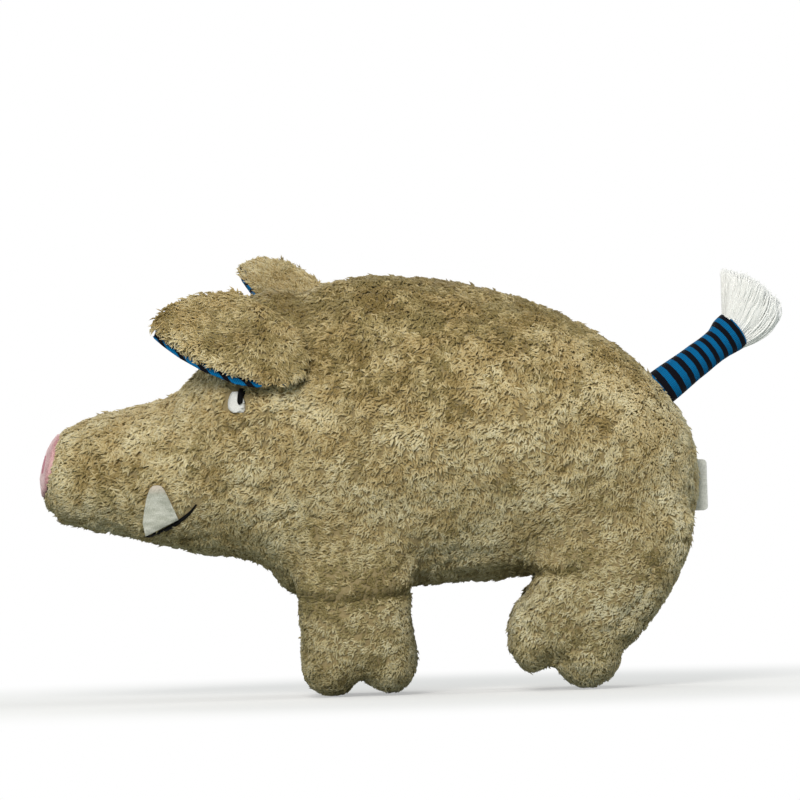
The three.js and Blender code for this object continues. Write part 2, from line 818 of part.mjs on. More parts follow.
function labelShape() {
  const shape = new THREE.Shape();
  const half = labelHeight / 2;
  const corner = labelReach - labelCornerRadius;
  shape.moveTo(0, -half);
  shape.lineTo(corner, -half);
  shape.absarc(corner, -half + labelCornerRadius, labelCornerRadius, -Math.PI / 2, 0, false);
  shape.lineTo(labelReach, half - labelCornerRadius);
  shape.absarc(corner, half - labelCornerRadius, labelCornerRadius, 0, Math.PI / 2, false);
  shape.lineTo(0, half);
  shape.closePath();
  return shape;
}

function labelGeometry() {
  const geometry = new THREE.ExtrudeGeometry(labelShape(), {
    depth: labelThickness,
    bevelEnabled: false,
    curveSegments: coarse.around / 4,
  });
  geometry.rotateX(Math.PI / 2);
  geometry.translate(0, labelThickness / 2, 0);
  return geometry;
}

// Assembly

const pig = new THREE.Group();
const both = (name, manifold, colour, roughness) => {
  const left = geometryOf(manifold);
  pig.add(sub(`${name[0]}left${name[1]}`, left, colour, roughness));
  pig.add(sub(`${name[0]}right${name[1]}`, mirrored(left), colour, roughness));
};

pig.add(sub("body_skin", geometryOf(bodySkin), plushColour, clothRoughness));
pig.add(sub("body_stuffing", geometryOf(bodyStuffing), stuffingColour, clothRoughness));
pig.add(sub("head_skin", geometryOf(headSkin), plushColour, clothRoughness));
pig.add(sub("head_stuffing", geometryOf(headStuffing), stuffingColour, clothRoughness));
both(["leg_front_", "_skin"], frontLeg.skin, plushColour, clothRoughness);
both(["leg_front_", "_stuffing"], frontLeg.stuffing, stuffingColour, clothRoughness);
both(["leg_rear_", "_skin"], rearLeg.skin, plushColour, clothRoughness);
both(["leg_rear_", "_stuffing"], rearLeg.stuffing, stuffingColour, clothRoughness);
pig.add(sub("snout_patch", geometryOf(snoutPatch), velourColour, clothRoughness));
both(["nostril_", ""], nostril, nostrilColour, threadRoughness);
both(["eye_", "_white"], eyeWhite, threadWhite, threadRoughness);
both(["eye_", "_pupil"], pupil, threadBlack, threadRoughness);
both(["mouth_", ""], mouthLine, threadBlack, threadRoughness);
both(["tusk_", ""], tusk, feltColour, clothRoughness);

pig.add(
  hinged(leftEarRoot, [
    sub("ear_left_plush", geometryOf(leftEarPlush), plushColour, clothRoughness),
    sub("ear_left_lining", geometryOf(leftEarLining), liningColour, clothRoughness),
  ]),
);
pig.add(
  hinged(rightEarRoot, [
    sub("ear_right_plush", geometryOf(rightEarPlush), plushColour, clothRoughness),
    sub("ear_right_lining", geometryOf(rightEarLining), liningColour, clothRoughness),
  ]),
);

const tail = new THREE.Group();
tail.position.copy(tailPivot);
tail.rotation.y = -tailAngle;
tail.add(sub("tail_sleeve", sleeve, liningColour, clothRoughness));
tail.add(sub("tail_stuffing", tailCore, stuffingColour, clothRoughness));
const tailTassel = sub("tail_tassel", tassel, tasselColour, clothRoughness);
tailTassel.position.x = mouthReach;
tail.add(tailTassel);
pig.add(tail);

const label = sub("label", labelGeometry(), labelColour, clothRoughness);
label.position.copy(labelHinge);
pig.add(label);

// The origin goes to the middle of the model's box, on the floor.
pig.updateMatrixWorld(true);
const box = new THREE.Box3().setFromObject(pig, true);
const centre = box.getCenter(new THREE.Vector3());
const part = new THREE.Group();
pig.position.set(-centre.x, -centre.y, -box.min.z);
part.add(pig);

export default part;
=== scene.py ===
# %% [markdown]
# # A plush piglet in teddy fur
#
# The toy is a wild piglet, about 33 cm long without its tail, sewn from beige-olive teddy plush
# and stuffed. It has a pink velour snout, felt tusks, embroidered eyes, ears lined with striped
# jersey, and a tail of the same jersey with a bunch of white yarn in its end.
#
# The imported CAD model gives the frame: every soft solid in it has its place and its size, and
# this script dresses each of them in cloth, thread and fur. Loading it first keeps the dressed
# toy and the solids the same size.

import json
import math

import bmesh
import bpy
import numpy as np
from mathutils import Matrix, Vector, noise
from mathutils.bvhtree import BVHTree
from mathutils.kdtree import KDTree

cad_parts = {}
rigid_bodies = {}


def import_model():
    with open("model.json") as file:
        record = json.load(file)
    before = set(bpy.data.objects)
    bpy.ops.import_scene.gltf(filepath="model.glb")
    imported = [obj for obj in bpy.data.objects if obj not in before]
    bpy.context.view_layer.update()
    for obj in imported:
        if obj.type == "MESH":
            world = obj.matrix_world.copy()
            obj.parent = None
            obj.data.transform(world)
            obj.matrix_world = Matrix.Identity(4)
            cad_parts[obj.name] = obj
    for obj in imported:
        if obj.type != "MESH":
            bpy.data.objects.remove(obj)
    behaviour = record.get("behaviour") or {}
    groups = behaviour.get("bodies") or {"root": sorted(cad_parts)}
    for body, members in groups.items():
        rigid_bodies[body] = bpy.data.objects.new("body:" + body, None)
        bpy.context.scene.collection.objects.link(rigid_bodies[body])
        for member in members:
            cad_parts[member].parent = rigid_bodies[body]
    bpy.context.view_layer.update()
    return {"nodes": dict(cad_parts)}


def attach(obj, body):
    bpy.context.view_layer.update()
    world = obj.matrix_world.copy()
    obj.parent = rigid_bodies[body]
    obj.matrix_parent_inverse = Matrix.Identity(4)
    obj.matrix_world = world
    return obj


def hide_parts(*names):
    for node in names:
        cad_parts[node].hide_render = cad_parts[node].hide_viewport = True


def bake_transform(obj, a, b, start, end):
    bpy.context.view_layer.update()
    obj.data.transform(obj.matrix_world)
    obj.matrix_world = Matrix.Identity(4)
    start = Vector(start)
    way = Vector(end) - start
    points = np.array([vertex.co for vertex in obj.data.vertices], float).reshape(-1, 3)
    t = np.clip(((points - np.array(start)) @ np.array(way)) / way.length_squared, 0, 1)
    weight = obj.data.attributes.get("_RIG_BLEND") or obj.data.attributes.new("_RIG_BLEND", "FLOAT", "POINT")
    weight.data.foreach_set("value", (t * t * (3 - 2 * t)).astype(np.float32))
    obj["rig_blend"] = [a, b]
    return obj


for spare in list(bpy.data.objects):
    bpy.data.objects.remove(spare)
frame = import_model()
MM = 0.001
MIDDLE_Y = -14.0 * MM  # the plane that divides the toy into its left and right half


def to_scene(name, data):
    """A new object in the scene."""
    made = bpy.data.objects.new(name, data)
    bpy.context.scene.collection.objects.link(made)
    return made


def to_mesh(name, bm):
    """A mesh of a bmesh, which is used up."""
    mesh = bpy.data.meshes.new(name)
    bm.to_mesh(mesh)
    bm.free()
    return mesh


def from_mesh(mesh):
    """A bmesh to work on, which holds a copy of the mesh."""
    bm = bmesh.new()
    bm.from_mesh(mesh)
    return bm


# %% [markdown]
# ## The camera
#
# The toy was photographed square to its left side from some way off, so its far legs hide
# behind the near ones. A long lens at six metres gives that flat view. One pixel of the
# 800 x 800 frame is half a millimetre at the toy's middle plane, and the camera is rolled a
# little, because the feet stand on a line that rises to the right.

# %% Camera
FRAME_WIDTH = 400 * MM
DISTANCE = 6.0
ROLL = math.radians(1.77)
SENSOR = 36.0
PICTURE_MIDDLE = (-4.96 * MM, 146.4 * MM)  # along the toy, and height

lens = bpy.data.cameras.new("camera")
lens.sensor_width = SENSOR
lens.lens = SENSOR * DISTANCE / FRAME_WIDTH
lens.clip_end = 40.0
camera = to_scene("camera", lens)
camera.location = (PICTURE_MIDDLE[0], MIDDLE_Y - DISTANCE, PICTURE_MIDDLE[1])
right = Vector((math.cos(ROLL), 0, -math.sin(ROLL)))
up = Vector((math.sin(ROLL), 0, math.cos(ROLL)))
camera.rotation_mode = "QUATERNION"
camera.rotation_quaternion = Matrix((right, up, right.cross(up))).transposed().to_quaternion()
bpy.context.scene.camera = camera
print("lens, mm:", round(lens.lens))

# %% [markdown]
# ## Shader maths that reads like a formula
#
# A finish is a small network of nodes. Wiring it by hand hides the idea behind it, so a socket
# is wrapped in a class whose operators add Math nodes: `1 - mask * 0.5` is then three sockets
# and two nodes. Every other node comes from one method, which takes the node's type, its
# settings and what goes into its sockets.

# %% Finishes
def colour(red, green, blue):
    """A screen colour, 0 to 255, as the linear values that a shader works with."""
    linear = [v / 255 / 12.92 if v <= 10 else ((v / 255 + 0.055) / 1.055) ** 2.4
              for v in (red, green, blue)]
    return (*linear, 1.0)


class Signal:
    """A socket that takes part in sums."""

    def __init__(self, finish, socket):
        self.finish = finish
        self.socket = socket

    def __getitem__(self, output):
        return Signal(self.finish, self.socket.node.outputs[output])

    def maths(self, operation, *terms):
        settings = {"operation": operation}
        return self.finish.node("ShaderNodeMath", settings, dict(enumerate(terms)))

    def __add__(self, other):
        return self.maths("ADD", self, other)

    def __sub__(self, other):
        return self.maths("SUBTRACT", self, other)

    def __rsub__(self, other):
        return self.maths("SUBTRACT", other, self)

    def __mul__(self, other):
        return self.maths("MULTIPLY", self, other)

    __radd__ = __add__
    __rmul__ = __mul__

    def sine(self):
        return self.maths("SINE", self)

    def between(self, low, high):
        """0 below low, 1 above high, and smooth from one to the other."""
        settings = {"interpolation_type": "SMOOTHSTEP"}
        return self.finish.node("ShaderNodeMapRange", settings, {0: self, 1: low, 2: high})


class Finish:
    """A material with one Principled shader, whose patterns are written as sums.

    The constants are the shader's sockets that don't vary, with _ for each space."""

    def __init__(self, name, **constants):
        self.material = bpy.data.materials.new(name)
        self.material.use_nodes = True
        self.tree = self.material.node_tree
        self.shader = self.tree.nodes["Principled BSDF"]
        for socket, value in constants.items():
            self.shader.inputs[socket.replace("_", " ")].default_value = value

    def node(self, kind, settings=None, inputs=None):
        made = self.tree.nodes.new(kind)
        for setting, value in (settings or {}).items():
            setattr(made, setting, value)
        for socket, value in (inputs or {}).items():
            if isinstance(value, Signal):
                self.tree.links.new(value.socket, made.inputs[socket])
            else:
                made.inputs[socket].default_value = value
        return Signal(self, made.outputs[0])

    def place(self):
        """The point on the piece, in metres."""
        return self.node("ShaderNodeTexCoord")["Object"]

    def cloth(self):
        """The point on the flat cloth, in millimetres: along the first axis, and across."""
        flat = self.node("ShaderNodeUVMap", {"uv_map": "cloth"})
        parts = self.node("ShaderNodeSeparateXYZ", None, {0: flat})
        return parts["X"], parts["Y"]

    def attribute(self, name):
        return self.node("ShaderNodeAttribute", {"attribute_name": name})["Fac"]

    def specks(self, size, detail=2.0, squeeze=(1, 1, 1), turn=(0, 0, 0)):
        """Noise from 0 to 1 whose blots are size metres across, squeezed along each axis."""
        laid = self.node("ShaderNodeMapping", None,
                         {"Vector": self.place(), "Rotation": turn, "Scale": squeeze})
        return self.node("ShaderNodeTexNoise", None,
                         {"Vector": laid, "Scale": 1 / size, "Detail": detail})["Fac"]

    def mix(self, share, first, second):
        """The first colour where share is 0 and the second where it is 1."""
        mixed = self.node("ShaderNodeMix", {"data_type": "RGBA"},
                          {0: share, 6: first, 7: second})
        return mixed[2]

    def tinted(self, base, tint, share):
        """The base colour times the tint, as far as share goes from 0 to 1."""
        mixed = self.node("ShaderNodeMix", {"data_type": "RGBA", "blend_type": "MULTIPLY"},
                          {0: share, 6: base, 7: tint})
        return mixed[2]

    def paint(self, socket, value):
        self.tree.links.new(value.socket, self.shader.inputs[socket])

    def emboss(self, height, depth):
        """Raises the surface by height, from 0 to 1, times depth in metres."""
        raised = self.node("ShaderNodeBump", None, {"Height": height, "Distance": depth})
        self.paint("Normal", raised)


# %% [markdown]
# ## Floor, background and light
#
# A pale floor and a white world make the studio. The world shows white to the camera and to
# reflections, and lights the toy as a grey sky. A big soft lamp from above and in front gives
# the gentle shading of the photograph, darker under the belly, and two weaker ones light the
# far side and the rear. The floor fades into the white with its distance. To the camera it is
# pale, but the light that it sends up at the toy is that of a darker floor.

# %% Studio
def camera_sees(finish):
    """1 for what the camera sees, straight or in a reflection, and 0 for light on the toy."""
    path = finish.node("ShaderNodeLightPath")
    seen = path["Is Camera Ray"].maths("MAXIMUM", path["Is Camera Ray"], path["Is Glossy Ray"])
    return seen.maths("MAXIMUM", seen, path["Is Transmission Ray"])


class Sky(Finish):
    """The world's network, written in the same way as a material's."""

    def __init__(self, name):
        world = bpy.data.worlds.new(name)
        bpy.context.scene.world = world
        world.use_nodes = True
        self.tree = world.node_tree
        self.tree.nodes.clear()

    def show(self, background):
        output = self.tree.nodes.new("ShaderNodeOutputWorld")
        self.tree.links.new(background.socket, output.inputs["Surface"])


floor_finish = Finish("pale_floor", Roughness=0.95, Specular_IOR_Level=0.0)
grain = floor_finish.specks(0.02, 2.0)
pale = floor_finish.mix(grain, (0.86, 0.86, 0.86, 1), (0.88, 0.88, 0.88, 1))
floor_seen = camera_sees(floor_finish)
floor_finish.paint("Base Color", floor_finish.mix(floor_seen, (0.34, 0.38, 0.36, 1), pale))
radius = floor_finish.node("ShaderNodeVectorMath", {"operation": "LENGTH"},
                           {0: floor_finish.place()})["Value"]
far = radius.between(0.2, 0.5)
glow = floor_finish.node("ShaderNodeEmission", None, {"Color": (1, 1, 1, 1), "Strength": 1.0})
surface = Signal(floor_finish, floor_finish.shader.outputs[0])
faded = floor_finish.node("ShaderNodeMixShader", None,
                          {0: floor_seen * (far * 0.6 + 0.4), 1: surface, 2: glow})
floor_output = floor_finish.tree.nodes["Material Output"]
floor_finish.tree.links.new(faded.socket, floor_output.inputs["Surface"])

floor_bm = bmesh.new()
bmesh.ops.create_circle(floor_bm, cap_ends=True, segments=96, radius=9.0)
bmesh.ops.translate(floor_bm, verts=floor_bm.verts, vec=(0, 0, -0.3 * MM))
floor = to_scene("floor", to_mesh("floor", floor_bm))
floor.data.materials.append(floor_finish.material)

sky = Sky("studio")
dim = sky.node("ShaderNodeBackground", None, {"Color": (0.94, 1.0, 0.98, 1), "Strength": 0.42})
white = sky.node("ShaderNodeBackground", None, {"Color": (1, 1, 1, 1), "Strength": 1.0})
sky.show(sky.node("ShaderNodeMixShader", None, {0: camera_sees(sky), 1: dim, 2: white}))
bpy.context.scene.view_settings.view_transform = "Standard"
TOY_MIDDLE = Vector((0, 0, 0.11))


def lamp(name, place, size, power, tint):
    """A square soft lamp that looks at the toy's middle."""
    data = bpy.data.lights.new(name, "AREA")
    data.color = tint
    data.size = size
    data.energy = power
    made = to_scene(name, data)
    made.location = place
    made.rotation_mode = "QUATERNION"
    made.rotation_quaternion = (TOY_MIDDLE - Vector(place)).to_track_quat("-Z", "Y")


lamp("key_lamp", (-0.4, -2.2, 1.15), 0.8, 43.0, (1.0, 0.97, 0.92))
lamp("far_lamp", (-0.6, 2.3, 1.3), 1.0, 26.0, (1.0, 0.98, 0.95))
lamp("rear_lamp", (2.2, -0.1, 1.0), 1.0, 12.0, (0.96, 0.98, 1.0))
print("studio: a floor, a world and three lamps")

# %% [markdown]
# ## From solids to one sewn skin
#
# On the toy the body, the head and the legs are separate bags of plush, sewn together and
# stuffed until the seams close up, and from outside they are one skin. The CAD model keeps them
# as solids with hair-thin gaps. They could be joined by booleans, but a voxel remesh is better
# here: each solid swells by the width of a gap, all are joined, and the remesh wraps the whole
# in an even net of small square faces, which the fur needs later. Smoothing then rounds the
# seams as stuffing does, and the skin moves in by the depth of the pile, so that the tips of
# the fur, and not the skin, reach the solid's outside.
#
# Where the legs join the flanks the skin is eased once more, and a crease is pressed in where
# each leg starts: the flank bulges over it, and the leg's neck goes in. Loose stuffing leaves
# soft lumps and the pile mats, so noise of three sizes moves the skin in and out by about a
# millimetre, and where the pile parts the skin dips along a short winding line. All this is
# left out round the pieces that are sewn on, where the skin comes up to carry them.

# %% Skin
PILE_DEPTH = 2.0 * MM
LOCK_SPACING = 2.35 * MM


def joined(parts):
    """One bmesh of several, which are used up."""
    whole = bmesh.new()
    for part in parts:
        mesh = to_mesh("part", part)
        whole.from_mesh(mesh)
        bpy.data.meshes.remove(mesh)
    whole.verts.index_update()
    return whole


def welded(*nodes, grow=0.0):
    """A bmesh of CAD nodes, each with its loose triangles joined up, and swollen by grow."""
    parts = []
    for node in nodes:
        part = from_mesh(frame["nodes"][node].data)
        bmesh.ops.remove_doubles(part, verts=part.verts, dist=1e-6)
        part.normal_update()
        for vertex in part.verts:
            vertex.co += vertex.normal * grow
        parts.append(part)
    return joined(parts)


def shaped(mesh, *modifiers):
    """The mesh after these modifiers, each given as its type and its settings."""
    subject = to_scene("shaping", mesh)
    for kind, settings in modifiers:
        modifier = subject.modifiers.new(kind, kind)
        for setting, value in settings.items():
            setattr(modifier, setting, value)
    evaluated = subject.evaluated_get(bpy.context.evaluated_depsgraph_get())
    result = bpy.data.meshes.new_from_object(evaluated)
    result.name = mesh.name
    bpy.data.objects.remove(subject)
    return result


def largest_island(mesh):
    """Leaves out the small closed shells that a remesh makes inside a hollow."""
    bm = from_mesh(mesh)
    left = set(bm.verts)
    islands = []
    while left:
        island = [left.pop()]
        for vertex in island:
            reached = {edge.other_vert(vertex) for edge in vertex.link_edges} & left
            left -= reached
            island += reached
        islands.append(island)
    for island in sorted(islands, key=len)[:-1]:
        bmesh.ops.delete(bm, geom=island, context="VERTS")
    bm.to_mesh(mesh)
    bm.free()
    return mesh


def remeshed(name, nodes, spacing, grow, inset, rounds):
    """One even skin round several solids, inset from their outside."""
    whole = to_mesh(name, welded(*nodes, grow=grow))
    skin = shaped(whole, ("REMESH", {"mode": "VOXEL", "voxel_size": spacing}),
                  ("SMOOTH", {"factor": 0.5, "iterations": rounds}),
                  ("DISPLACE", {"strength": -(inset + grow), "mid_level": 0.0}))
    return largest_island(skin)


LEGS = [f"leg_{end}_{side}" for end in ("front", "rear") for side in ("left", "right")]
COAT_NODES = ["body_skin", "body_stuffing", "head_skin", "head_stuffing"]
COAT_NODES += [f"{leg}_{layer}" for leg in LEGS for layer in ("skin", "stuffing")]
coat_mesh = remeshed("coat_skin", COAT_NODES, LOCK_SPACING, 0.5 * MM, PILE_DEPTH, 4)


def tree_of(*nodes):
    """A search tree of CAD nodes, for the nearest point or for where a line meets them."""
    bm = welded(*nodes)
    tree = BVHTree.FromBMesh(bm)
    bm.free()
    return tree


def pile_length(heights):
    """The pile's length at each height: close on the legs, and longer on the back."""
    return np.interp(heights, np.array([20, 60, 120, 160]) * MM, [0.72, 0.8, 1.0, 1.25])


def is_flank(vertex):
    """True over the legs, on the toy's outer sides."""
    outer = abs(vertex.normal.y) > 0.35 or abs(vertex.co.y - MIDDLE_Y) > 36 * MM
    over_leg = -76 * MM < vertex.co.x < 12 * MM or 56 * MM < vertex.co.x < 150 * MM
    return outer and over_leg and 53 * MM < vertex.co.z < 108 * MM


def ease(mesh, rounds):
    """Smooths the flanks where the legs join them."""
    bm = from_mesh(mesh)
    bm.normal_update()
    flank = [vertex for vertex in bm.verts if is_flank(vertex)]
    for _ in range(rounds):
        bmesh.ops.smooth_vert(bm, verts=flank, factor=0.5, use_axis_x=True, use_axis_y=True,
                              use_axis_z=True)
    bm.to_mesh(mesh)
    bm.free()


# where a front and a rear leg start: places along the toy, and the crease's height at each
CREASES = [([-66, -61.3, -54.4, -35.5, -14.4, -1.8, 4], [58, 54.1, 50.8, 49.3, 51.1, 53.2, 57]),
           ([56, 60.9, 70, 80.9, 88], [59, 59.8, 59.9, 60.7, 63])]
BULGE = 2.8 * MM
NECK = 3.0 * MM


def over_crease(place, normal):
    """The height over the nearest crease, in millimetres, and how much of it there is here."""
    x, _, z = (v / MM for v in place)
    for along, heights in CREASES:
        if along[0] < x < along[-1]:
            share = min(1, (x - along[0]) / 8, (along[-1] - x) / 8, abs(normal[1]) / 0.6)
            return z - np.interp(x, along, heights), share
    return 0, 0


def crease_fold(place, normal):
    """How far the flank stands out above the crease, and how far the leg's neck goes in."""
    above, share = over_crease(place, normal)
    share *= 0.9 + 0.5 * noise.noise(place / (12 * MM))
    if above > 0:
        return share * BULGE * math.exp(-(above - 3) ** 2 / 70) * min(1, above / 2.5)
    return share * NECK * math.exp(above / 5) * max(-1, above / 2)


def parting(place):
    """How deep the pile parts here, along short winding lines."""
    line = 1 - abs(noise.noise(place / (15 * MM) + Vector((3, 1, 7)))) / 0.2
    patch = noise.noise(place / (24 * MM) + Vector((9, 4, 2))) * 3 + 0.3
    return 1.7 * MM * min(1, max(0, line)) * min(1, max(0, patch))


LUMPS = [(46, 1.1), (19, 0.9), (6.5, 0.9)]  # wave and height of each noise, in millimetres
STITCHED_ON = ["eye_left_white", "eye_right_white", "tusk_left", "tusk_right", "mouth_left",
               "mouth_right"]
REACH = 4.0 * MM

ease(coat_mesh, 60)
sewn_on = tree_of(*STITCHED_ON, "snout_patch")
lumps = [sum(height * noise.noise(vertex.co / (wave * MM)) for wave, height in LUMPS)
         - parting(vertex.co) / MM for vertex in coat_mesh.vertices]
outward = [vertex.normal.copy() for vertex in coat_mesh.vertices]
for vertex, normal, lump in zip(coat_mesh.vertices, outward, lumps):
    distance = sewn_on.find_nearest(vertex.co, 2 * REACH)[3]
    near = 0 if distance is None else min(1, 2 - distance / REACH)
    close = (1 - pile_length(vertex.co.z)) * 1.6 * MM + crease_fold(vertex.co, normal)
    vertex.co += normal * (PILE_DEPTH * 0.8 * near + (lump * MM + close) * (1 - near))
    vertex.co.z = max(vertex.co.z, 0.8 * MM)
print("coat skin faces:", len(coat_mesh.polygons))

# %% [markdown]
# ## Finish of the skin
#
# Teddy plush is knitted, and its backing shows between the locks only as darker flecks. The
# skin is therefore a dull olive brown, with noise for the shade down in the pile, and quite
# rough. The function piece is used for everything that follows: it puts a mesh into the frame
# with its finish, the body that it rides on, and the solids that it stands for.

# %% Backing cloth
backing = Finish("plush_backing", Roughness=1.0)
knit = backing.specks(1.6 * MM, 3.0)
backing.paint("Base Color", backing.mix(knit, colour(126, 111, 77), colour(164, 147, 107)))
backing.emboss(knit, 0.6 * MM)


def piece(name, mesh, body, finish, replaces=()):
    """An object in the frame, riding on a body, with its finish on it."""
    mesh.materials.clear()
    mesh.materials.append(finish.material)
    mesh.polygons.foreach_set("use_smooth", [True] * len(mesh.polygons))
    made = to_scene(name, mesh)
    if body:
        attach(made, body)
    if replaces:
        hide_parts(*replaces)
    return made


coat = piece("coat_skin", coat_mesh, "torso", backing, COAT_NODES)

# %% [markdown]
# ## A lock of plush
#
# Fur could be Blender's hair curves, but a library part has to leave Blender as a mesh. So the
# fur is real: some forty thousand small locks, each of four thin blades that rise from the
# skin, bend over and end in a point. A blade is a three-sided cone, cut once along its length
# and bent at the cut, which is ten triangles, the fewest that still look like a curl of fibre
# at this size. Its upper ridge counts as tip and its lower edges as root, so that each blade is
# painted pale along its back, as a highlight, and dark beside it, as shade, which makes it
# read as a bundle of finer fibres. Eight different locks are made, so that neighbours rarely
# look alike, and eight longer ones for the ears.

# %% Locks
BLADES = 4
KINDS = 8


def blade(length, width, rise, fall, sway):
    """A bmesh of one blade that grows from the origin and leans along X."""
    bm = bmesh.new()
    tip_layer = bm.verts.layers.float.new("tip")
    bmesh.ops.create_cone(bm, cap_ends=True, segments=3, radius1=width / 2, radius2=0,
                          depth=length)
    bmesh.ops.translate(bm, verts=bm.verts, vec=(0, 0, length / 2))
    long_edges = [edge for edge in bm.edges if edge.calc_length() > length * 0.9]
    bmesh.ops.subdivide_edges(bm, edges=long_edges, cuts=1)
    half = length / 2
    knee = Vector((math.cos(rise), 0, math.sin(rise))) * half
    end = Vector((math.cos(fall), math.sin(sway), math.sin(fall))).normalized() * half
    for vertex in bm.verts:
        level = round(vertex.co.z / half)
        ridge = vertex.co.x < -width / 8
        # painted highlight on the upper ridge, painted shade on the lower edges
        vertex[tip_layer] = (0, 0.85 if ridge else 0.25, 1)[level]
        if level == 1:
            vertex.co = knee + Vector((0, vertex.co.y, -vertex.co.x)) * 1.8
        elif level == 2:
            vertex.co = knee + end
    bmesh.ops.triangulate(bm, faces=bm.faces)
    return bm


def lock_kinds(seed, long=1.0):
    """Corner points of each kind of lock, and its triangles and heights, the same for all."""
    rng = np.random.default_rng(seed)
    kinds = []
    for _ in range(KINDS):
        parts = []
        for index in range(BLADES):
            bm = blade(rng.uniform(3.4, 5.0) * long * MM, rng.uniform(1.0, 1.45) * MM,
                       math.radians(rng.uniform(38, 66)), math.radians(rng.uniform(-12, 22)),
                       math.radians(rng.uniform(-48, 48)))
            turn = Matrix.Rotation(math.radians(rng.uniform(-34, 34)), 3, "Z")
            bmesh.ops.rotate(bm, verts=bm.verts, cent=(0, 0, 0), matrix=turn)
            root = (rng.uniform(-0.9, 0.9), (index - BLADES / 2 + 0.5) * 0.55, -0.4)
            bmesh.ops.translate(bm, verts=bm.verts, vec=Vector(root) * MM)
            parts.append(bm)
        whole = joined(parts)
        tip_layer = whole.verts.layers.float["tip"]
        kinds.append(np.array([vertex.co for vertex in whole.verts]))
        height = np.array([vertex[tip_layer] for vertex in whole.verts])
        triangles = np.array([[vertex.index for vertex in face.verts] for face in whole.faces])
        whole.free()
    return np.array(kinds), triangles, height


PLAIN_LOCKS = lock_kinds(3)
EAR_LOCKS = lock_kinds(4, long=1.28)
print("one lock:", PLAIN_LOCKS[0].shape[1], "corners,", len(PLAIN_LOCKS[1]), "triangles")

# %% [markdown]
# ## Colours of the fur
#
# Each fibre is dyed olive beige, but the pile looks darker towards its roots, where little light
# gets, and paler at the curled tips. Every corner of a lock carries its height along the fibre
# as the attribute tip, and every lock carries a tone, part chance, part slow drift over the
# coat and part painted shade. The fur's finish reads both, so its colour rides with each lock.
# Slow noise makes warmer patches, most of all on the back. Belly and feet are painted greyer,
# as the cool shade low on the toy, locks of a low tone are painted darker and greener, which
# carries the painted shade on the crown, belly and front legs as well as chance, and short thin
# furrows, where one noise passes its middle value, are painted shade where the pile parts. A
# little light that travels inside the fibres keeps the shade between them soft.

# %% Fur finish
ROOT_COLOUR = colour(160, 142, 98)
LOW_COLOUR = colour(184, 165, 119)
TIP_COLOUR = colour(220, 206, 166)


def fur_finish(name):
    finish = Finish(name, Roughness=0.85, Specular_IOR_Level=0.2, Sheen_Weight=0.1,
                    Sheen_Roughness=0.6, Sheen_Tint=(0.85, 0.74, 0.5, 1),
                    Subsurface_Weight=0.4, Subsurface_Radius=(1.0, 0.9, 0.7),
                    Subsurface_Scale=0.7 * MM)
    tip = finish.attribute("tip")
    tone = finish.attribute("tone")
    streak = finish.specks(0.5 * MM, 1.0)
    patch = finish.specks(17 * MM, 2.0)
    level = finish.node("ShaderNodeSeparateXYZ", None, {0: finish.place()})["Z"]
    height = tip * 0.8 + tone * 0.45 + streak * 0.3 - 0.4
    low = finish.mix(height.between(0.0, 0.42), ROOT_COLOUR, LOW_COLOUR)
    dyed = finish.mix(height.between(0.3, 1.0), low, TIP_COLOUR)
    warmth = patch.between(0.38, 0.64) * (level.between(0.03, 0.11) * 0.6 + 0.3)
    warm = finish.tinted(dyed, (0.80, 0.73, 0.61, 1), warmth)
    # painted cool shade: greyer and bluer towards the belly and feet
    grey = finish.tinted(warm, (0.93, 0.99, 1.07, 1), level.between(0.17, 0.05) * 0.9)
    # painted shade: locks of a low tone, by chance and on the shaded crown, belly and front legs, go darker
    low_tone_and_shade = finish.tinted(grey, (0.66, 0.66, 0.56, 1), tone.between(0.35, -0.6))
    # painted shade along short thin partings of the pile
    furrow = finish.specks(8 * MM, 1.0, squeeze=(1.4, 1, 0.8))
    parting_shade = furrow.between(0.485, 0.5) - furrow.between(0.5, 0.515)
    parting_shade *= finish.specks(14 * MM, 1.0).between(0.45, 0.6)
    finish.paint("Base Color", finish.tinted(low_tone_and_shade, (0.62, 0.58, 0.5, 1), parting_shade))
    return finish


fur_coat = fur_finish("plush_fur")

# %% [markdown]
# ## Combing and planting
#
# The skin has a face about every two and a half millimetres, and nearly every face gets one
# lock. How it lies is the work of a comb: a direction at each point, laid into the face's own
# plane and turned a different way from tuft to tuft, as handled plush does. Teddy pile also
# mats: the locks of a tuft lean towards its middle, where they are long and painted paler, and
# between the tufts they are short and painted darker, as the shade there. A lock is then its
# template, turned to its direction and scaled, and because there are so many of them numpy
# places all at once instead of one by one.
# What would reach through the floor is pressed flat on it.
#
# Near the eyes, tusks and ears a lock is shortened, so that none covers or cuts through them.
# The shading normals of a lock follow the skin under it more than its own blades, which makes
# the pile look soft.

# %% Planting
LARGEST_PIECE = 190000  # triangles
SOFTNESS = 0.6  # how far the shading of a lock follows the skin under it
FULLNESS = 1.07  # how much wider a lock is than its template
STRAY = 14  # how far the locks' directions spread, in degrees
TUFT = 4.6 * MM  # about how far the middles of two tufts are apart
TUFT_PULL = 1.3  # how strongly a lock leans to its tuft's middle


def faces_of(mesh):
    """Centres and normals of the faces."""
    count = len(mesh.polygons)
    centres = np.empty(count * 3)
    normals = np.empty(count * 3)
    mesh.polygons.foreach_get("center", centres)
    mesh.polygons.foreach_get("normal", normals)
    return centres.reshape(-1, 3), normals.reshape(-1, 3)


def unit(vectors):
    """The same directions, each with the length 1."""
    return vectors / np.maximum(np.linalg.norm(vectors, axis=-1, keepdims=True), 1e-9)


def drift(points, size, seed):
    """Smooth noise from -1 to 1 at each point, whose waves are size metres long."""
    offset = Vector((seed * 7.3, seed * 3.1, seed * 5.7))
    return np.array([noise.noise(Vector(p) / size + offset) for p in points])


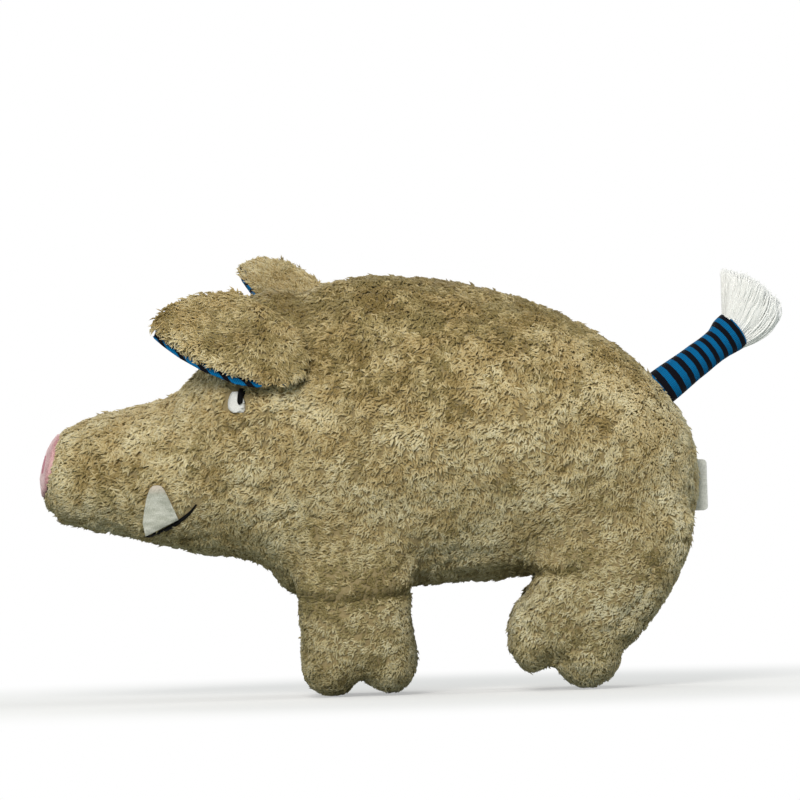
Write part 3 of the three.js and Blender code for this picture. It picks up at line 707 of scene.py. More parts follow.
def ramp(values, start, end):
    """0 up to start and 1 from end on; both are in millimetres and the values in metres."""
    return np.clip((values / MM - start) / (end - start), 0, 1)


def pressed(heights):
    """Heights squeezed above the floor: what would reach into it lies flat on it instead."""
    low = np.minimum(heights / MM, 1)
    return np.where(heights < MM, np.exp(low - 1) * MM, heights)


def copies(name, points, triangles, **attributes):
    """A mesh of many copies of one form: points is copies x corners x 3."""
    share, corners = points.shape[:2]
    corner_of = (triangles[None] + np.arange(share)[:, None, None] * corners).reshape(-1)
    mesh = bpy.data.meshes.new(name)
    mesh.vertices.add(share * corners)
    mesh.vertices.foreach_set("co", points.reshape(-1))
    mesh.loops.add(len(corner_of))
    mesh.loops.foreach_set("vertex_index", corner_of)
    mesh.polygons.add(len(corner_of) // 3)
    mesh.polygons.foreach_set("loop_start", np.arange(0, len(corner_of), 3))
    for attribute, values in attributes.items():
        mesh.attributes.new(attribute, "FLOAT", "POINT").data.foreach_set("value", values)
    mesh.update(calc_edges=True)
    return mesh


def swirled(comb, centres, normals, seed):
    """The comb laid into each face's plane and turned a different way from tuft to tuft."""
    lay = unit(comb - (comb * normals).sum(1, keepdims=True) * normals)
    turn = np.radians(70 * drift(centres, 7 * MM, seed + 50))[:, None]
    return lay * np.cos(turn) + np.cross(normals, lay) * np.sin(turn)


def tufted(lay, centres, normals, seed):
    """The lay drawn towards the middle of each tuft, and how far off that is, from 0 to 1."""
    rng = np.random.default_rng(seed)
    share = (LOCK_SPACING / TUFT) ** 2
    middles = centres[rng.permutation(len(centres))[:round(len(centres) * share)]]
    tree = KDTree(len(middles))
    for index, middle in enumerate(middles):
        tree.insert(middle, index)
    tree.balance()
    way = np.array([tree.find(centre)[0] for centre in centres]) - centres
    way -= (way * normals).sum(1, keepdims=True) * normals
    off = np.linalg.norm(way, axis=1) / TUFT
    return unit(lay + way * TUFT_PULL / TUFT), np.clip(off, 0, 1)


def plant(name, body, centres, normals, lay, locks, size, shade, seed, outer=0):
    """Plants a lock at each centre, as pieces of at most LARGEST_PIECE triangles.

    The shading of a lock leans towards outer, a direction, besides following the skin."""
    kinds, triangles, height = locks
    rng = np.random.default_rng(seed)
    count = len(centres)
    stray = np.radians(rng.normal(0, STRAY, count))[:, None]
    lay = lay * np.cos(stray) + np.cross(normals, lay) * np.sin(stray)
    side = np.cross(normals, lay)
    shift = rng.uniform(-0.5, 0.5, (count, 2, 1)) * LOCK_SPACING
    roots = centres + lay * shift[:, 0] + side * shift[:, 1]
    scale = size * rng.uniform(0.82, 1.15, count)
    along = np.interp(scale, [0.35, 0.7, 1.25], [0.35, 0.84, 1.25])
    stretch = np.stack([along, np.maximum(scale, 1) * FULLNESS, scale], 1)[:, None]
    kind = kinds[rng.integers(0, len(kinds), count)] * stretch
    points = roots[:, None] + kind @ np.stack([lay, side, normals], 1)
    points[..., 2] = pressed(points[..., 2])
    tone = 0.5 + 0.8 * drift(roots, 26 * MM, seed) + 0.5 * drift(roots, 8 * MM, seed)
    tone += rng.normal(0, 0.2, count) + shade
    per_piece = LARGEST_PIECE // len(triangles)
    starts = range(0, count, per_piece)
    for number, start in enumerate(starts, 1):
        part = slice(start, start + per_piece)
        share = len(points[part])
        mesh = copies(f"{name}_{number}", points[part], triangles,
                      tip=np.tile(height, share), tone=np.repeat(tone[part], len(height)))
        own = np.empty(share * len(height) * 3)
        mesh.vertices.foreach_get("normal", own)
        below = np.repeat(unit(normals[part] + outer), len(height), axis=0)
        soft = unit(own.reshape(-1, 3) * (1 - SOFTNESS) + below * SOFTNESS)
        mesh.polygons.foreach_set("use_smooth", [True] * len(mesh.polygons))
        mesh.normals_split_custom_set_from_vertices(soft)
        piece(mesh.name, mesh, body, fur_coat)
    print(name, count, "locks in", len(starts), "pieces")


def overhang(points, tree, allowed):
    """1 where a point is within allowed of the solid, and less the farther it sticks out."""
    found = [tree.find_nearest(point)[3] for point in points]
    return np.clip(1 - (np.array(found) - allowed) / (3 * MM), 0.35, 1)


def room_for(points, trees, reach):
    """How much of reach is free round each point: 0 where something touches it, 1 where clear."""
    free = np.ones(len(points))
    for tree in trees:
        for index, point in enumerate(points):
            found = tree.find_nearest(point, reach)
            if found[0] is not None:
                free[index] = min(free[index], found[3] / reach)
    return free


# %% [markdown]
# ## The coat's fur
#
# On the muzzle the pile leans down and forwards, and over the rest it lies in wide slow swirls.
# It is close on the legs and long on the back, and one lock in twenty-five is left out, which
# the others cover. The creases over the legs are dark, because little light gets into them. The
# crown, the belly and the front legs are painted darker as shade, and the muzzle is darker too.

# %% Coat fur
def coat_comb(points):
    """The way the pile leans at each point of the coat."""
    swirl = 0.9 * drift(points, 62 * MM, 1) + 0.6 * drift(points, 30 * MM, 2)
    lean = np.radians(-125) + swirl * 1.5
    muzzle = ramp(points[:, 0], -70, -130)
    lean = lean * (1 - muzzle) + (np.radians(-140) + swirl * 0.5) * muzzle
    across = 0.2 * drift(points, 40 * MM, 5)
    return np.stack([np.cos(lean), across, np.sin(lean)], 1)


def coat_shade(x, z):
    """How pale the locks are: painted shade on the crown, the belly and the front legs, and a darker muzzle.
    """
    shade = 0.1 - 0.5 * ramp(z, 95, 65) + 0.35 * ramp(z, 55, 40)
    shade -= 0.26 * ramp(x, -100, -120) + 1.4 * ramp(z, 145, 195)
    return shade - 0.5 * ramp(z, 75, 50) * ramp(x, 0, -20)


def tuft_shade(off):
    """Painted light and shade: paler in the middle of a tuft and darker between two."""
    return 0.4 - 0.9 * off


THINNED = 0.04  # the share of the faces that get no lock
centres, normals = faces_of(coat_mesh)
details = tree_of(*STITCHED_ON, "label", "tail_sleeve")
snout_patch = tree_of("snout_patch")
ears = tree_of("ear_left_lining", "ear_right_lining", "ear_left_plush", "ear_right_plush")
solids = tree_of(*COAT_NODES)
lay = swirled(coat_comb(centres), centres, normals, 11)
lay, off = tufted(lay, centres, normals, 12)
# above each root, over the middle of the lock, and at its end
raised = centres + normals * 2.5 * MM
tips = centres + normals * PILE_DEPTH + lay * 2.2 * MM
ends = centres + normals * 1.6 * MM + lay * 4.6 * MM

roots_free = np.minimum(room_for(raised, [details], 2.6 * MM),
                        room_for(raised, [snout_patch], 1.6 * MM))
tips_free = np.minimum(room_for(tips, [details, ears], 2.4 * MM),
                       0.2 + room_for(ends, [details], 2.4 * MM))
inside = np.array([normal.dot(Vector(point) - spot) < 0 for point in ends
                   for spot, normal in [solids.find_nearest(point)[:2]]])
tips_free *= np.where(inside, 1, overhang(ends, solids, 0.4 * MM))
soles_free = np.clip((centres[:, 2] + 2.5 * MM) / (4 * MM), 0.45, 1)
size = np.clip(tips_free * 1.2, 0.35, 1) * soles_free * (1.08 - 0.25 * off)
size *= pile_length(centres[:, 2])
size *= np.interp(centres[:, 0], np.array([-130, -95]) * MM, [1.2, 1.0])

creased = [over_crease(point, normal) for point, normal in zip(centres, normals)]
# painted shade of the coat, the tufts' paler middles and darker gaps, and below it the creases
shade = coat_shade(centres[:, 0], centres[:, 2]) + tuft_shade(off)
shade -= [1.6 * share * max(0, 1 - abs(above + 0.6) / 3) for above, share in creased]
grown = (roots_free > 0.5) & (np.random.default_rng(13).random(len(centres)) > THINNED)
plant("coat_fur", "torso", centres[grown], normals[grown], lay[grown], PLAIN_LOCKS,
      size[grown], shade[grown], 11)

# %% [markdown]
# ## Ears
#
# Each ear is a leaf of plush with striped jersey on its inner side, turned and sewn, so it is
# thin, soft and a little wavy. The near ear hangs over the cheek and the far one stands behind
# the crown. The fur grows on the outer side only, and its locks lean from the seam to the tip.
# Under the front of the near ear the plush ends higher than the lining, so that a strip of
# jersey shows; further back the fur hangs over it. Locks near the crown are shorter, to leave
# room when the ear turns, and the shading of all leans outwards, so that none at the rim is
# lit from behind.

# %% Ear plush
EAR_SPACING = 2.05 * MM


def lower_rim(side):
    """The lowest height of an ear's lining at every place along X."""
    mesh = remeshed("rim", [f"ear_{side}_lining"], 0.8 * MM, 0.0, 0.0, 1)
    points = np.array([vertex.co for vertex in mesh.vertices])
    places = np.arange(points[:, 0].min() + 2 * MM, points[:, 0].max() - 2 * MM, 2 * MM)
    heights = [points[abs(points[:, 0] - place) <= 2 * MM, 2].min() for place in places]
    return lambda x: np.interp(x, places, heights)


def ear_plush(side, towards, towards_rear, bare, shade, seed):
    """The plush leaf of one ear and its fur; bare is how much lining shows under it, by X."""
    node = f"ear_{side}_plush"
    body = f"ear_{side}"
    mesh = remeshed(f"{body}_skin", [node], EAR_SPACING, 0.0, 1.0 * MM, 2)
    rim = lower_rim(side)
    for vertex in mesh.vertices:
        vertex.co.z = max(vertex.co.z, rim(vertex.co.x) + np.interp(vertex.co.x, *bare))
    mesh.update()
    centres, normals = faces_of(mesh)
    skin = piece(f"{body}_skin", mesh, body, backing, [node])
    lining = tree_of(f"ear_{side}_lining")
    clear = room_for(centres + normals * 2.2 * MM, [lining], 2.6 * MM)
    rear = ramp(centres[:, :1], -85, -60)
    comb = np.array(towards) * (1 - rear) + np.array(towards_rear) * rear
    comb += 0.4 * np.stack([drift(centres, 30 * MM, seed + k) for k in range(3)], 1)
    lay, off = tufted(swirled(comb, centres, normals, seed), centres, normals, seed + 1)
    ends = centres + normals * 1.2 * MM + lay * 4.0 * MM
    above = (ends[:, 2] - rim(ends[:, 0]) - np.interp(ends[:, 0], *bare)) / MM
    grown = clear > np.where((above > 9) | (centres[:, 0] > -72 * MM), 0.2, 0.55)
    outer = normals[clear == 1].mean(0)
    grown &= normals @ outer > -0.1
    size = 0.62 + 0.3 * room_for(ends, [lining], 2.0 * MM)
    size *= np.maximum(overhang(ends, tree_of(node), 0.9 * MM), rear[:, 0])
    size *= np.clip(above / 3 + 0.8, 0.3, 1)
    size *= 0.55 + 0.45 * room_for(centres + normals * MM, [solids], 5 * MM)
    # painted shade: the ear's own, paler locks near the lower rim, and the tufts' light and shade
    shade = shade + 0.7 * np.clip(1 - above / 7, 0, 1) + tuft_shade(off)
    plant(f"{body}_fur", body, centres[grown], normals[grown], lay[grown], EAR_LOCKS,
          size[grown], shade[grown], seed, outer)


NEAR_BARE = (np.array([-76, -69]) * MM, np.array([5.0, -1.2]) * MM)
FAR_BARE = ([0], [0])
# the near ear's locks are painted darker than the far one's, as shade
ear_plush("left", (-0.8, 0, -0.6), (0.4, 0, -0.9), NEAR_BARE, -0.85, 21)
ear_plush("right", (-0.4, 0.6, 0.3), (-0.4, 0.6, 0.3), FAR_BARE, -0.3, 31)

# %% [markdown]
# ## Striped jersey
#
# Jersey is knitted in rows of small loops that stand above each other in wales, and stripes are
# rows of another colour. The stripes here are about two and a half millimetres wide, a bright
# blue and a blue so dark that it is almost black. A pattern on the object's coordinates would
# cut straight through the tail, so cloth pieces carry a UV map in millimetres: along the first
# axis the colours change, and across it the wales stand side by side. The near ear's stripes
# bend along with its lower rim. Where fur should cover a lining, the lining is drawn in a
# little, so that it doesn't show through between the locks.

# %% Jersey finish
STRIPE = 5.0  # a blue and a black stripe together, in millimetres
WALE = 0.85
LOOP = 0.62
BLUE = colour(6, 114, 172)
BLACK = colour(14, 14, 24)


def jersey_finish(name, first_blue, edge=0.0):
    """Jersey whose first blue starts at first_blue; an edge under 0 makes blue wider."""
    finish = Finish(name, Roughness=0.95, Specular_IOR_Level=0.12)
    along, across = finish.cloth()
    wobble = finish.specks(3.0 * MM, 2.0)
    turn = 2 * math.pi
    band = ((along + wobble * 0.5 - first_blue) * (turn / STRIPE)).sine()
    wale = (across * (turn / WALE)).sine()
    loop = (along * (turn / LOOP) + wale * 1.4).sine()
    knit = wale * 0.3 + loop * 0.2 + 0.5
    blue = band.between(edge - 0.12, edge + 0.12)
    dyed = finish.mix(blue, BLACK, BLUE)
    # painted shade: both colours darker in the valleys between the loops
    deep = finish.mix(blue, colour(8, 8, 14), colour(4, 84, 134))
    finish.paint("Base Color", finish.mix(knit.between(0.15, 0.85), deep, dyed))
    finish.emboss(knit, 0.25 * MM)
    return finish


def lay_cloth(mesh, along, across):
    """The UV map cloth, in millimetres, from two coordinates at each corner point."""
    layer = mesh.uv_layers.new(name="cloth")
    corners = np.empty(len(mesh.loops), np.int32)
    mesh.loops.foreach_get("vertex_index", corners)
    flat = np.stack([along, across], 1)[corners] / MM
    layer.data.foreach_set("uv", flat.reshape(-1))


DRAWN_IN = 2.4 * MM


def ear_lining(side, bent):
    """The jersey lining; its stripes run straight, or bent along with the ear's lower rim."""
    node = f"ear_{side}_lining"
    mesh = remeshed(f"{node}_jersey", [node], 0.8 * MM, 0.0, -0.1 * MM, 2)
    places = np.array([vertex.co for vertex in mesh.vertices])
    if bent:
        rim = lower_rim(side)
        steps = np.linspace(places[:, 0].min(), places[:, 0].max(), 60)
        run = np.cumsum(np.hypot(np.gradient(steps), np.gradient(rim(steps))))
        length = np.interp(places[:, 0], steps, run)
        height = places[:, 2] - rim(places[:, 0])
        lay_cloth(mesh, 0.43 * length + 0.6 * height, 0.9 * length - 0.43 * height)
        hidden = np.maximum(ramp(height, 5, 11), ramp(places[:, 0], -77, -69))
    else:
        lay_cloth(mesh, places @ (0.3, 0.5, 0.81), places @ (0.8, -0.6, 0.1))
        hidden = 1.6 * ramp(places[:, 2], 209, 215.4)
    places += unit(places.mean(0) - places) * hidden[:, None] * DRAWN_IN
    mesh.vertices.foreach_set("co", places.reshape(-1))
    mesh.update()
    piece(f"{node}_jersey", mesh, f"ear_{side}", lining_jersey, [node])
    print(node, len(mesh.polygons), "faces")


lining_jersey = jersey_finish("ear_jersey", 0.6, -0.35)
ear_lining("left", True)
ear_lining("right", False)

# %% [markdown]
# ## The tail
#
# The tail is a stuffed sleeve of the same jersey, sewn into the rump and open at its end, where
# the hem flares. A circle of stitches is extruded ring by ring along the tail, each ring scaled
# to the width there, and at the mouth it turns back inside for the hem. The sleeve has to bend
# where it leaves the rump when the tail wags, so it blends from the torso to the tail there.
# The sleeve is cut a little askew, so its stripes and its hem bow towards the end on the near
# side; a shear along the tail gives that to the shape and the stripes together. The upper half
# of the mouth is pulled up as well, and towards the rump, where the sleeve is less taut, the
# stripes stand closer.

# %% Tail sleeve
TAIL_LIFT = math.radians(35.8)
TAIL_AXIS = Vector((math.cos(TAIL_LIFT), 0, math.sin(TAIL_LIFT)))
TAIL_TOP = Vector((-math.sin(TAIL_LIFT), 0, math.cos(TAIL_LIFT)))
TAIL_MOUTH = Vector((163.0, -14.0, 175.4)) * MM
TAIL_SIDES = 72
# how far before the mouth, in millimetres, and the radius there
TAIL_RINGS = [(52, 8.0), (49, 9.0), (45, 9.3), (40, 9.1), (34, 8.7), (28, 8.3), (22, 8.2),
              (17, 7.9), (13, 7.9), (9, 8.2), (6, 8.7), (3.5, 9.1), (1.2, 9.3), (0, 9.3),
              (-0.5, 8.9), (0.2, 8.4), (3, 7.9), (8, 7.0)]
TAIL_SKEW = 0.3
TAIL_FLARE = 0.15
TAIL_ROUND = 8.5  # the radius that turns an angle into millimetres of cloth


def corners_and_edges(made):
    """What an extrusion made, sorted."""
    return ([item for item in made["geom"] if isinstance(item, bmesh.types.BMVert)],
            [item for item in made["geom"] if isinstance(item, bmesh.types.BMEdge)])


def tail_sleeve():
    bm = bmesh.new()
    spin = TAIL_AXIS.to_track_quat("Z", "Y").to_matrix().to_4x4()
    start = Matrix.Translation(TAIL_MOUTH - TAIL_AXIS * TAIL_RINGS[0][0] * MM) @ spin
    bmesh.ops.create_circle(bm, segments=TAIL_SIDES, radius=TAIL_RINGS[0][1] * MM,
                            matrix=start)
    edges = list(bm.edges)
    bmesh.ops.contextual_create(bm, geom=edges)
    for (before, old), (here, new) in zip(TAIL_RINGS, TAIL_RINGS[1:]):
        steps = max(1, round(abs(before - here) / 0.9))
        for step in range(1, steps + 1):
            ring, edges = corners_and_edges(bmesh.ops.extrude_edge_only(bm, edges=edges))
            bmesh.ops.translate(bm, verts=ring, vec=TAIL_AXIS * (before - here) / steps * MM)
            distance = before + (here - before) * step / steps
            was = old + (new - old) * (step - 1) / steps
            now = old + (new - old) * step / steps
            centre = TAIL_MOUTH - TAIL_AXIS * distance * MM
            bmesh.ops.scale(bm, vec=(now / was,) * 3, verts=ring,
                            space=Matrix.Translation(-centre))
    bmesh.ops.contextual_create(bm, geom=edges)
    bmesh.ops.recalc_face_normals(bm, faces=bm.faces)
    return bm


def lay_sleeve(bm):
    """The cloth map of the sleeve: along the tail, and round it."""
    layer = bm.loops.layers.uv.new("cloth")
    for face in bm.faces:
        middle = face.calc_center_median() - TAIL_MOUTH
        facing = math.atan2(middle.dot(TAIL_TOP), middle.y)
        for corner in face.loops:
            reach = corner.vert.co - TAIL_MOUTH
            angle = math.atan2(reach.dot(TAIL_TOP), reach.y)
            angle = facing + (angle - facing + math.pi) % (2 * math.pi) - math.pi
            along = reach.dot(TAIL_AXIS) / MM
            stretched = along + 0.0035 * min(0, along + 15) ** 2
            corner[layer].uv = (stretched, angle * TAIL_ROUND)


def skew_sleeve(bm):
    """Slants the sleeve towards its end, and pulls up the upper half of its mouth."""
    for vertex in bm.verts:
        reach = vertex.co - TAIL_MOUTH
        ahead = reach.dot(TAIL_AXIS) / MM
        skew = TAIL_SKEW * min(1, (ahead + TAIL_RINGS[0][0]) / 20) * (vertex.co.y - MIDDLE_Y)
        opened = min(1, max(0, (ahead + 10) / 5))
        lifted = max(0, reach.dot(TAIL_TOP)) * TAIL_FLARE * opened
        vertex.co += TAIL_TOP * lifted - TAIL_AXIS * skew


sleeve_bm = tail_sleeve()
lay_sleeve(sleeve_bm)
skew_sleeve(sleeve_bm)
sleeve_mesh = to_mesh("tail_jersey", sleeve_bm)
tail_jersey = jersey_finish("tail_jersey", 0.0)
sleeve = piece("tail_jersey", sleeve_mesh, None, tail_jersey,
               ["tail_sleeve", "tail_stuffing"])
hinge = Vector((134.0, -14.0, 154.5)) * MM
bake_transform(sleeve, "torso", "tail", hinge - TAIL_AXIS * 6 * MM, hinge + TAIL_AXIS * 6 * MM)
print("tail sleeve faces:", len(sleeve_mesh.polygons))

# %% [markdown]
# ## Threads and yarn
#
# Embroidery and yarn are bundles of thin round strands. One strand is a small capped tube, made
# once by extruding a circle, and each copy of it is bent along a path of its own.

# %% Strands
def tube(rings, sides):
    """Ring number and angle of each corner of a straight tube, and its triangles."""
    bm = bmesh.new()
    bmesh.ops.create_circle(bm, segments=sides, radius=1.0)
    edges = list(bm.edges)
    bmesh.ops.contextual_create(bm, geom=edges)
    for _ in range(rings - 1):
        ring, edges = corners_and_edges(bmesh.ops.extrude_edge_only(bm, edges=edges))
        bmesh.ops.translate(bm, verts=ring, vec=(0, 0, 1))
    bmesh.ops.contextual_create(bm, geom=edges)
    bmesh.ops.recalc_face_normals(bm, faces=bm.faces)
    bmesh.ops.triangulate(bm, faces=bm.faces)
    bm.verts.index_update()
    level = np.array([round(vertex.co.z) for vertex in bm.verts])
    angle = np.array([math.atan2(vertex.co.y, vertex.co.x) for vertex in bm.verts])
    triangles = np.array([[vertex.index for vertex in face.verts] for face in bm.faces])
    bm.free()
    return level, angle, triangles


def strands(name, paths, radii, outward, sides=6, tones=None):
    """Tubes along paths, an array of strands x points x 3, with a radius at each point."""
    level, angle, triangles = tube(paths.shape[1], sides)
    run = unit(np.gradient(paths, axis=1))
    one = unit(np.cross(run, np.broadcast_to(outward, run.shape)))
    two = np.cross(run, one)
    radii = np.broadcast_to(radii, paths.shape[:2])[:, level, None]
    points = paths[:, level] + radii * (np.cos(angle)[None, :, None] * one[:, level]
                                        + np.sin(angle)[None, :, None] * two[:, level])
    flip = np.einsum("ij,ij->i", np.cross(one[:, 0], two[:, 0]), run[:, 0])[0] < 0
    used = triangles[:, ::-1] if flip else triangles
    tones = np.zeros(len(paths)) if tones is None else tones
    height = np.tile(level / max(level), len(paths))
    return copies(name, points, used, tip=height, tone=np.repeat(tones, len(level)))


def along_line(points, places, at=None):
    """Points on a bent line, whose own are at these places, or evenly from 0 to 1."""
    line = np.array(points, float)
    at = np.linspace(0, 1, len(line)) if at is None else at
    return np.stack([np.interp(places, at, axis) for axis in line.T], 1)


# %% [markdown]
# ## White yarn in the tail's end
#
# The bunch is fifteen hundred fine white yarns, held in the sleeve's mouth. They fan out flat:
# on one side they stand straight up, and on the other they first bulge over the hem and then
# turn up, and their ends are cut on one slanting line. Each yarn follows a curve between those
# two sides, with a little wave of its own, and lies near the others of its bundle. Most yarns
# are at the outside, and the heart of the bunch is one body that fills it. When the tassel
# tips, all of it bends out of the sleeve's mouth, so both pieces blend from tail to tassel.

# %% Tassel
YARNS = 1500
YARN_POINTS = 10
BUNDLES = 90


def yarn_paths():
    rng = np.random.default_rng(5)
    bundle = rng.integers(0, BUNDLES, YARNS)
    turn = rng.uniform(0, 2 * math.pi, BUNDLES)[bundle] + rng.normal(0, 0.14, YARNS)
    out = np.clip(rng.normal(0.93, 0.06, YARNS), 0.3, 1)
    out[::3] *= np.sqrt(rng.uniform(0, 1, len(out[::3])))
    out[1::3] -= 0.06
    share = 0.5 + 0.5 * np.cos(turn) * out
    deep = np.sin(turn) * out
    root = along_line([(157.4, 178.8), (163.0, 166.4)], share)
    bend = along_line([(157.8, 194.0), (164.5, 190.5), (173.5, 184.5), (186.5, 172.0)], share)
    end = along_line([(158.3, 206.2), (168.5, 204.2), (177.3, 198.3), (186.2, 189.4)], share)
    end += (end - bend) * rng.uniform(-0.2, 0.03, (YARNS, 1))
    end += rng.normal(0, 0.45, (BUNDLES, 2))[bundle]
    steps = np.linspace(0, 1, YARN_POINTS)[None, :, None]
    flat = ((1 - steps) ** 2 * root[:, None] + 2 * steps * (1 - steps) * bend[:, None]
            + steps ** 2 * end[:, None])
    width = 6.6 + 4.6 * steps[..., 0]
    wave = np.sin(steps[..., 0] * rng.uniform(5, 12, (YARNS, 1)) + rng.uniform(0, 6, (YARNS, 1)))
    flat += wave[..., None] * rng.normal(0, 0.45, (YARNS, 1, 2)) * steps
    depth = -14.0 + deep[:, None] * width + wave * 0.4
    return np.stack([flat[..., 0], depth, flat[..., 1]], 2) * MM, rng.uniform(0, 1, YARNS)


yarn = Finish("white_yarn", Roughness=0.65, Sheen_Weight=0.3, Subsurface_Weight=0.12,
              Subsurface_Radius=(1.0, 1.0, 1.0), Subsurface_Scale=1.5 * MM)
ply = yarn.specks(0.5 * MM, 2.0)
light = yarn.attribute("tone") * 0.5 + ply * 0.5
yarn.paint("Base Color", yarn.mix(light.between(0.1, 0.8), colour(240, 240, 238),
                                  colour(253, 253, 252)))
yarn.emboss(ply, 0.05 * MM)
paths, tones = yarn_paths()
taper = np.concatenate([np.full(YARN_POINTS - 2, 0.46), [0.4, 0.2]]) * MM
tassel_mesh = strands("tail_yarn", paths, taper, (0, 1, 0), 5, tones)
core_mesh = remeshed("tail_yarn_core", ["tail_tassel"], 0.8 * MM, 0.0, 1.9 * MM, 4)
core_mesh.transform(Matrix.Translation(TAIL_MOUTH) @ Matrix.Scale(0.88, 4)
                    @ Matrix.Translation(-TAIL_MOUTH))
for name, mesh in (("tail_yarn_core", core_mesh), ("tail_yarn", tassel_mesh)):
    bunch = piece(name, mesh, None, yarn, ["tail_tassel"])
    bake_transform(bunch, "tail", "tassel", TAIL_MOUTH - TAIL_AXIS * MM,
             TAIL_MOUTH + TAIL_AXIS * 15 * MM)
print("tassel:", YARNS, "yarns,", len(tassel_mesh.polygons), "triangles")

# %% [markdown]
# ## Satin stitch
#
# Eyes, nostrils and the mouth are embroidered in satin stitch: thread after thread, side by
# side, from one edge of a shape to the other, each arched over the padding under it. So the
# stitches are made one by one. Each row has two ends, and is dropped on the surface that
# carries it. The right side of the face is the left one mirrored at the middle plane.

# %% Embroidery
FINE_THREAD = (0.42, 0.28)  # the distance between stitches and the radius of one, in millimetres
THICK_THREAD = (0.4, 0.3)
STITCH_POINTS = 7


def stitched(name, rows, carrier, outward, thread, arch):
    """Satin stitches between the two ends of each row, dropped on the carrier and arched."""
    spacing, radius = thread
    outward = np.array(outward, float)
    rows = np.array(rows, float) * MM
    length = np.linalg.norm(np.diff(rows.mean(1), axis=0), axis=1)
    at = np.concatenate([[0], np.cumsum(length)])
    wanted = np.arange(0, at[-1], spacing * MM)
    start, end = (along_line(rows[:, side], wanted, at)[:, None] for side in (0, 1))
    steps = np.linspace(0, 1, STITCH_POINTS)[None, :, None]
    paths = start * (1 - steps) + end * steps
    for path in paths:
        for index, point in enumerate(path):
            hit = carrier.ray_cast(Vector(point + outward * 0.04), Vector(-outward))[0]
            if hit is not None:
                path[index] = hit
    rise = np.sin(np.linspace(0, math.pi, STITCH_POINTS)) * arch * MM - radius * MM * 0.6
    paths = paths + rise[None, :, None] * outward
    return strands(name, paths, radius * MM, outward)


def mirrored(mesh, name):
    """The same mesh on the toy's other side."""
    bm = from_mesh(mesh)
    flip = Matrix.Translation((0, 2 * MIDDLE_Y, 0)) @ Matrix.Scale(-1, 4, (0, 1, 0))
    bmesh.ops.transform(bm, matrix=flip, verts=bm.verts)
    bmesh.ops.reverse_faces(bm, faces=bm.faces)
    return to_mesh(name, bm)


def on_both_sides(mesh, finish, node):
    """A piece of the toy's left side and its mirror image, and the solids they stand for."""
    other = mirrored(mesh, mesh.name.replace("left", "right"))
    return [piece(mesh.name, mesh, "torso", finish, [node]),
            piece(other.name, other, "torso", finish, [node.replace("left", "right")])]


def thread_finish(name, dark, bright, sheen, shine=0.3):
    finish = Finish(name, Sheen_Weight=sheen, Specular_IOR_Level=shine)
    twist = finish.specks(0.3 * MM, 2.0)
    finish.paint("Base Color", finish.mix(twist.between(0.3, 0.7), dark, bright))
    finish.paint("Roughness", twist * 0.25 + 0.35)
    finish.emboss(twist, 0.08 * MM)
    return finish


white_thread = thread_finish("white_thread", colour(212, 211, 208), colour(240, 239, 236), 0.2)
black_thread = thread_finish("black_thread", colour(2, 2, 3), colour(12, 12, 14), 0.0, 0.08)
LEFT = (0, -1, 0)
BESIDE = -60  # a place outside the toy's left side, in millimetres
# each row: height, front end and rear end of the stitches, in millimetres
EYE_ROWS = [(142.9, -88.0, -82.6), (143.8, -89.4, -82.0), (145.2, -90.2, -81.8),
            (147.0, -90.3, -82.0), (149.0, -90.0, -82.4), (150.8, -89.3, -83.0),
            (152.2, -88.6, -84.0), (153.2, -87.8, -85.2)]
PUPIL_ROWS = [(146.3, -84.4, -82.6), (147.0, -85.2, -81.7), (148.0, -85.5, -81.7),
              (149.0, -85.5, -82.7), (150.6, -85.3, -82.5), (152.2, -85.1, -81.7),
              (153.6, -84.7, -81.8), (154.6, -84.1, -82.4)]
for part, rows, slot, finish, arch in (
        ("white", EYE_ROWS, "white_thread", white_thread, 0.9),
        ("pupil", PUPIL_ROWS, "black_thread", black_thread, 0.8)):
    node = f"eye_left_{part}"
    ends = [[(front, BESIDE, z), (rear, BESIDE, z)] for z, front, rear in rows]
    carrier = tree_of(node, "head_skin")
    mesh = stitched(f"{node}_stitches", ends, carrier, LEFT, FINE_THREAD, arch)
    on_both_sides(mesh, finish, node)
    print(mesh.name, len(mesh.polygons), "triangles")

# %% [markdown]
# ## Mouth
#
# The mouth is one black line that starts under the tusk's foot and runs up and back along the
# cheek, thickest in its middle. It is satin stitch too, with short stitches across the line.

# %% Mouth line
MOUTH_LINE = [(-133.3, 82.0), (-127.9, 83.7), (-122.7, 85.8), (-116.8, 89.1), (-113.3, 91.7),
              (-110.4, 94.2), (-107.8, 97.5)]
MOUTH_WIDTHS = [0.7, 1.2, 1.6, 1.7, 1.3, 0.9, 0.4]


def mouth_rows():
    line = np.array(MOUTH_LINE)
    run = unit(np.gradient(line, axis=0))
    half = np.stack([-run[:, 1], run[:, 0]], 1) * np.array(MOUTH_WIDTHS)[:, None] / 2
    return [[(x, BESIDE, z) for x, z in (middle + side, middle - side)]
            for middle, side in zip(line, half)]


head_surface = tree_of("head_skin")
mouth = stitched("mouth_left_stitches", mouth_rows(), head_surface, LEFT, THICK_THREAD, 0.9)
on_both_sides(mouth, black_thread, "mouth_left")
print("mouth:", len(mouth.polygons), "triangles")

# %% [markdown]
# ## Tusks
#
# A tusk is a flat horn of white felt with a blunt tip. Its foot is caught in the mouth's seam
# and it leans up against the cheek. The outline is filled with one face, which is cut into
# small ones and laid over the head, with its rim lower than its middle, so that it looks
# padded. Extruding it inwards, down into the skin, gives the felt its thickness, and nothing
# hangs free.

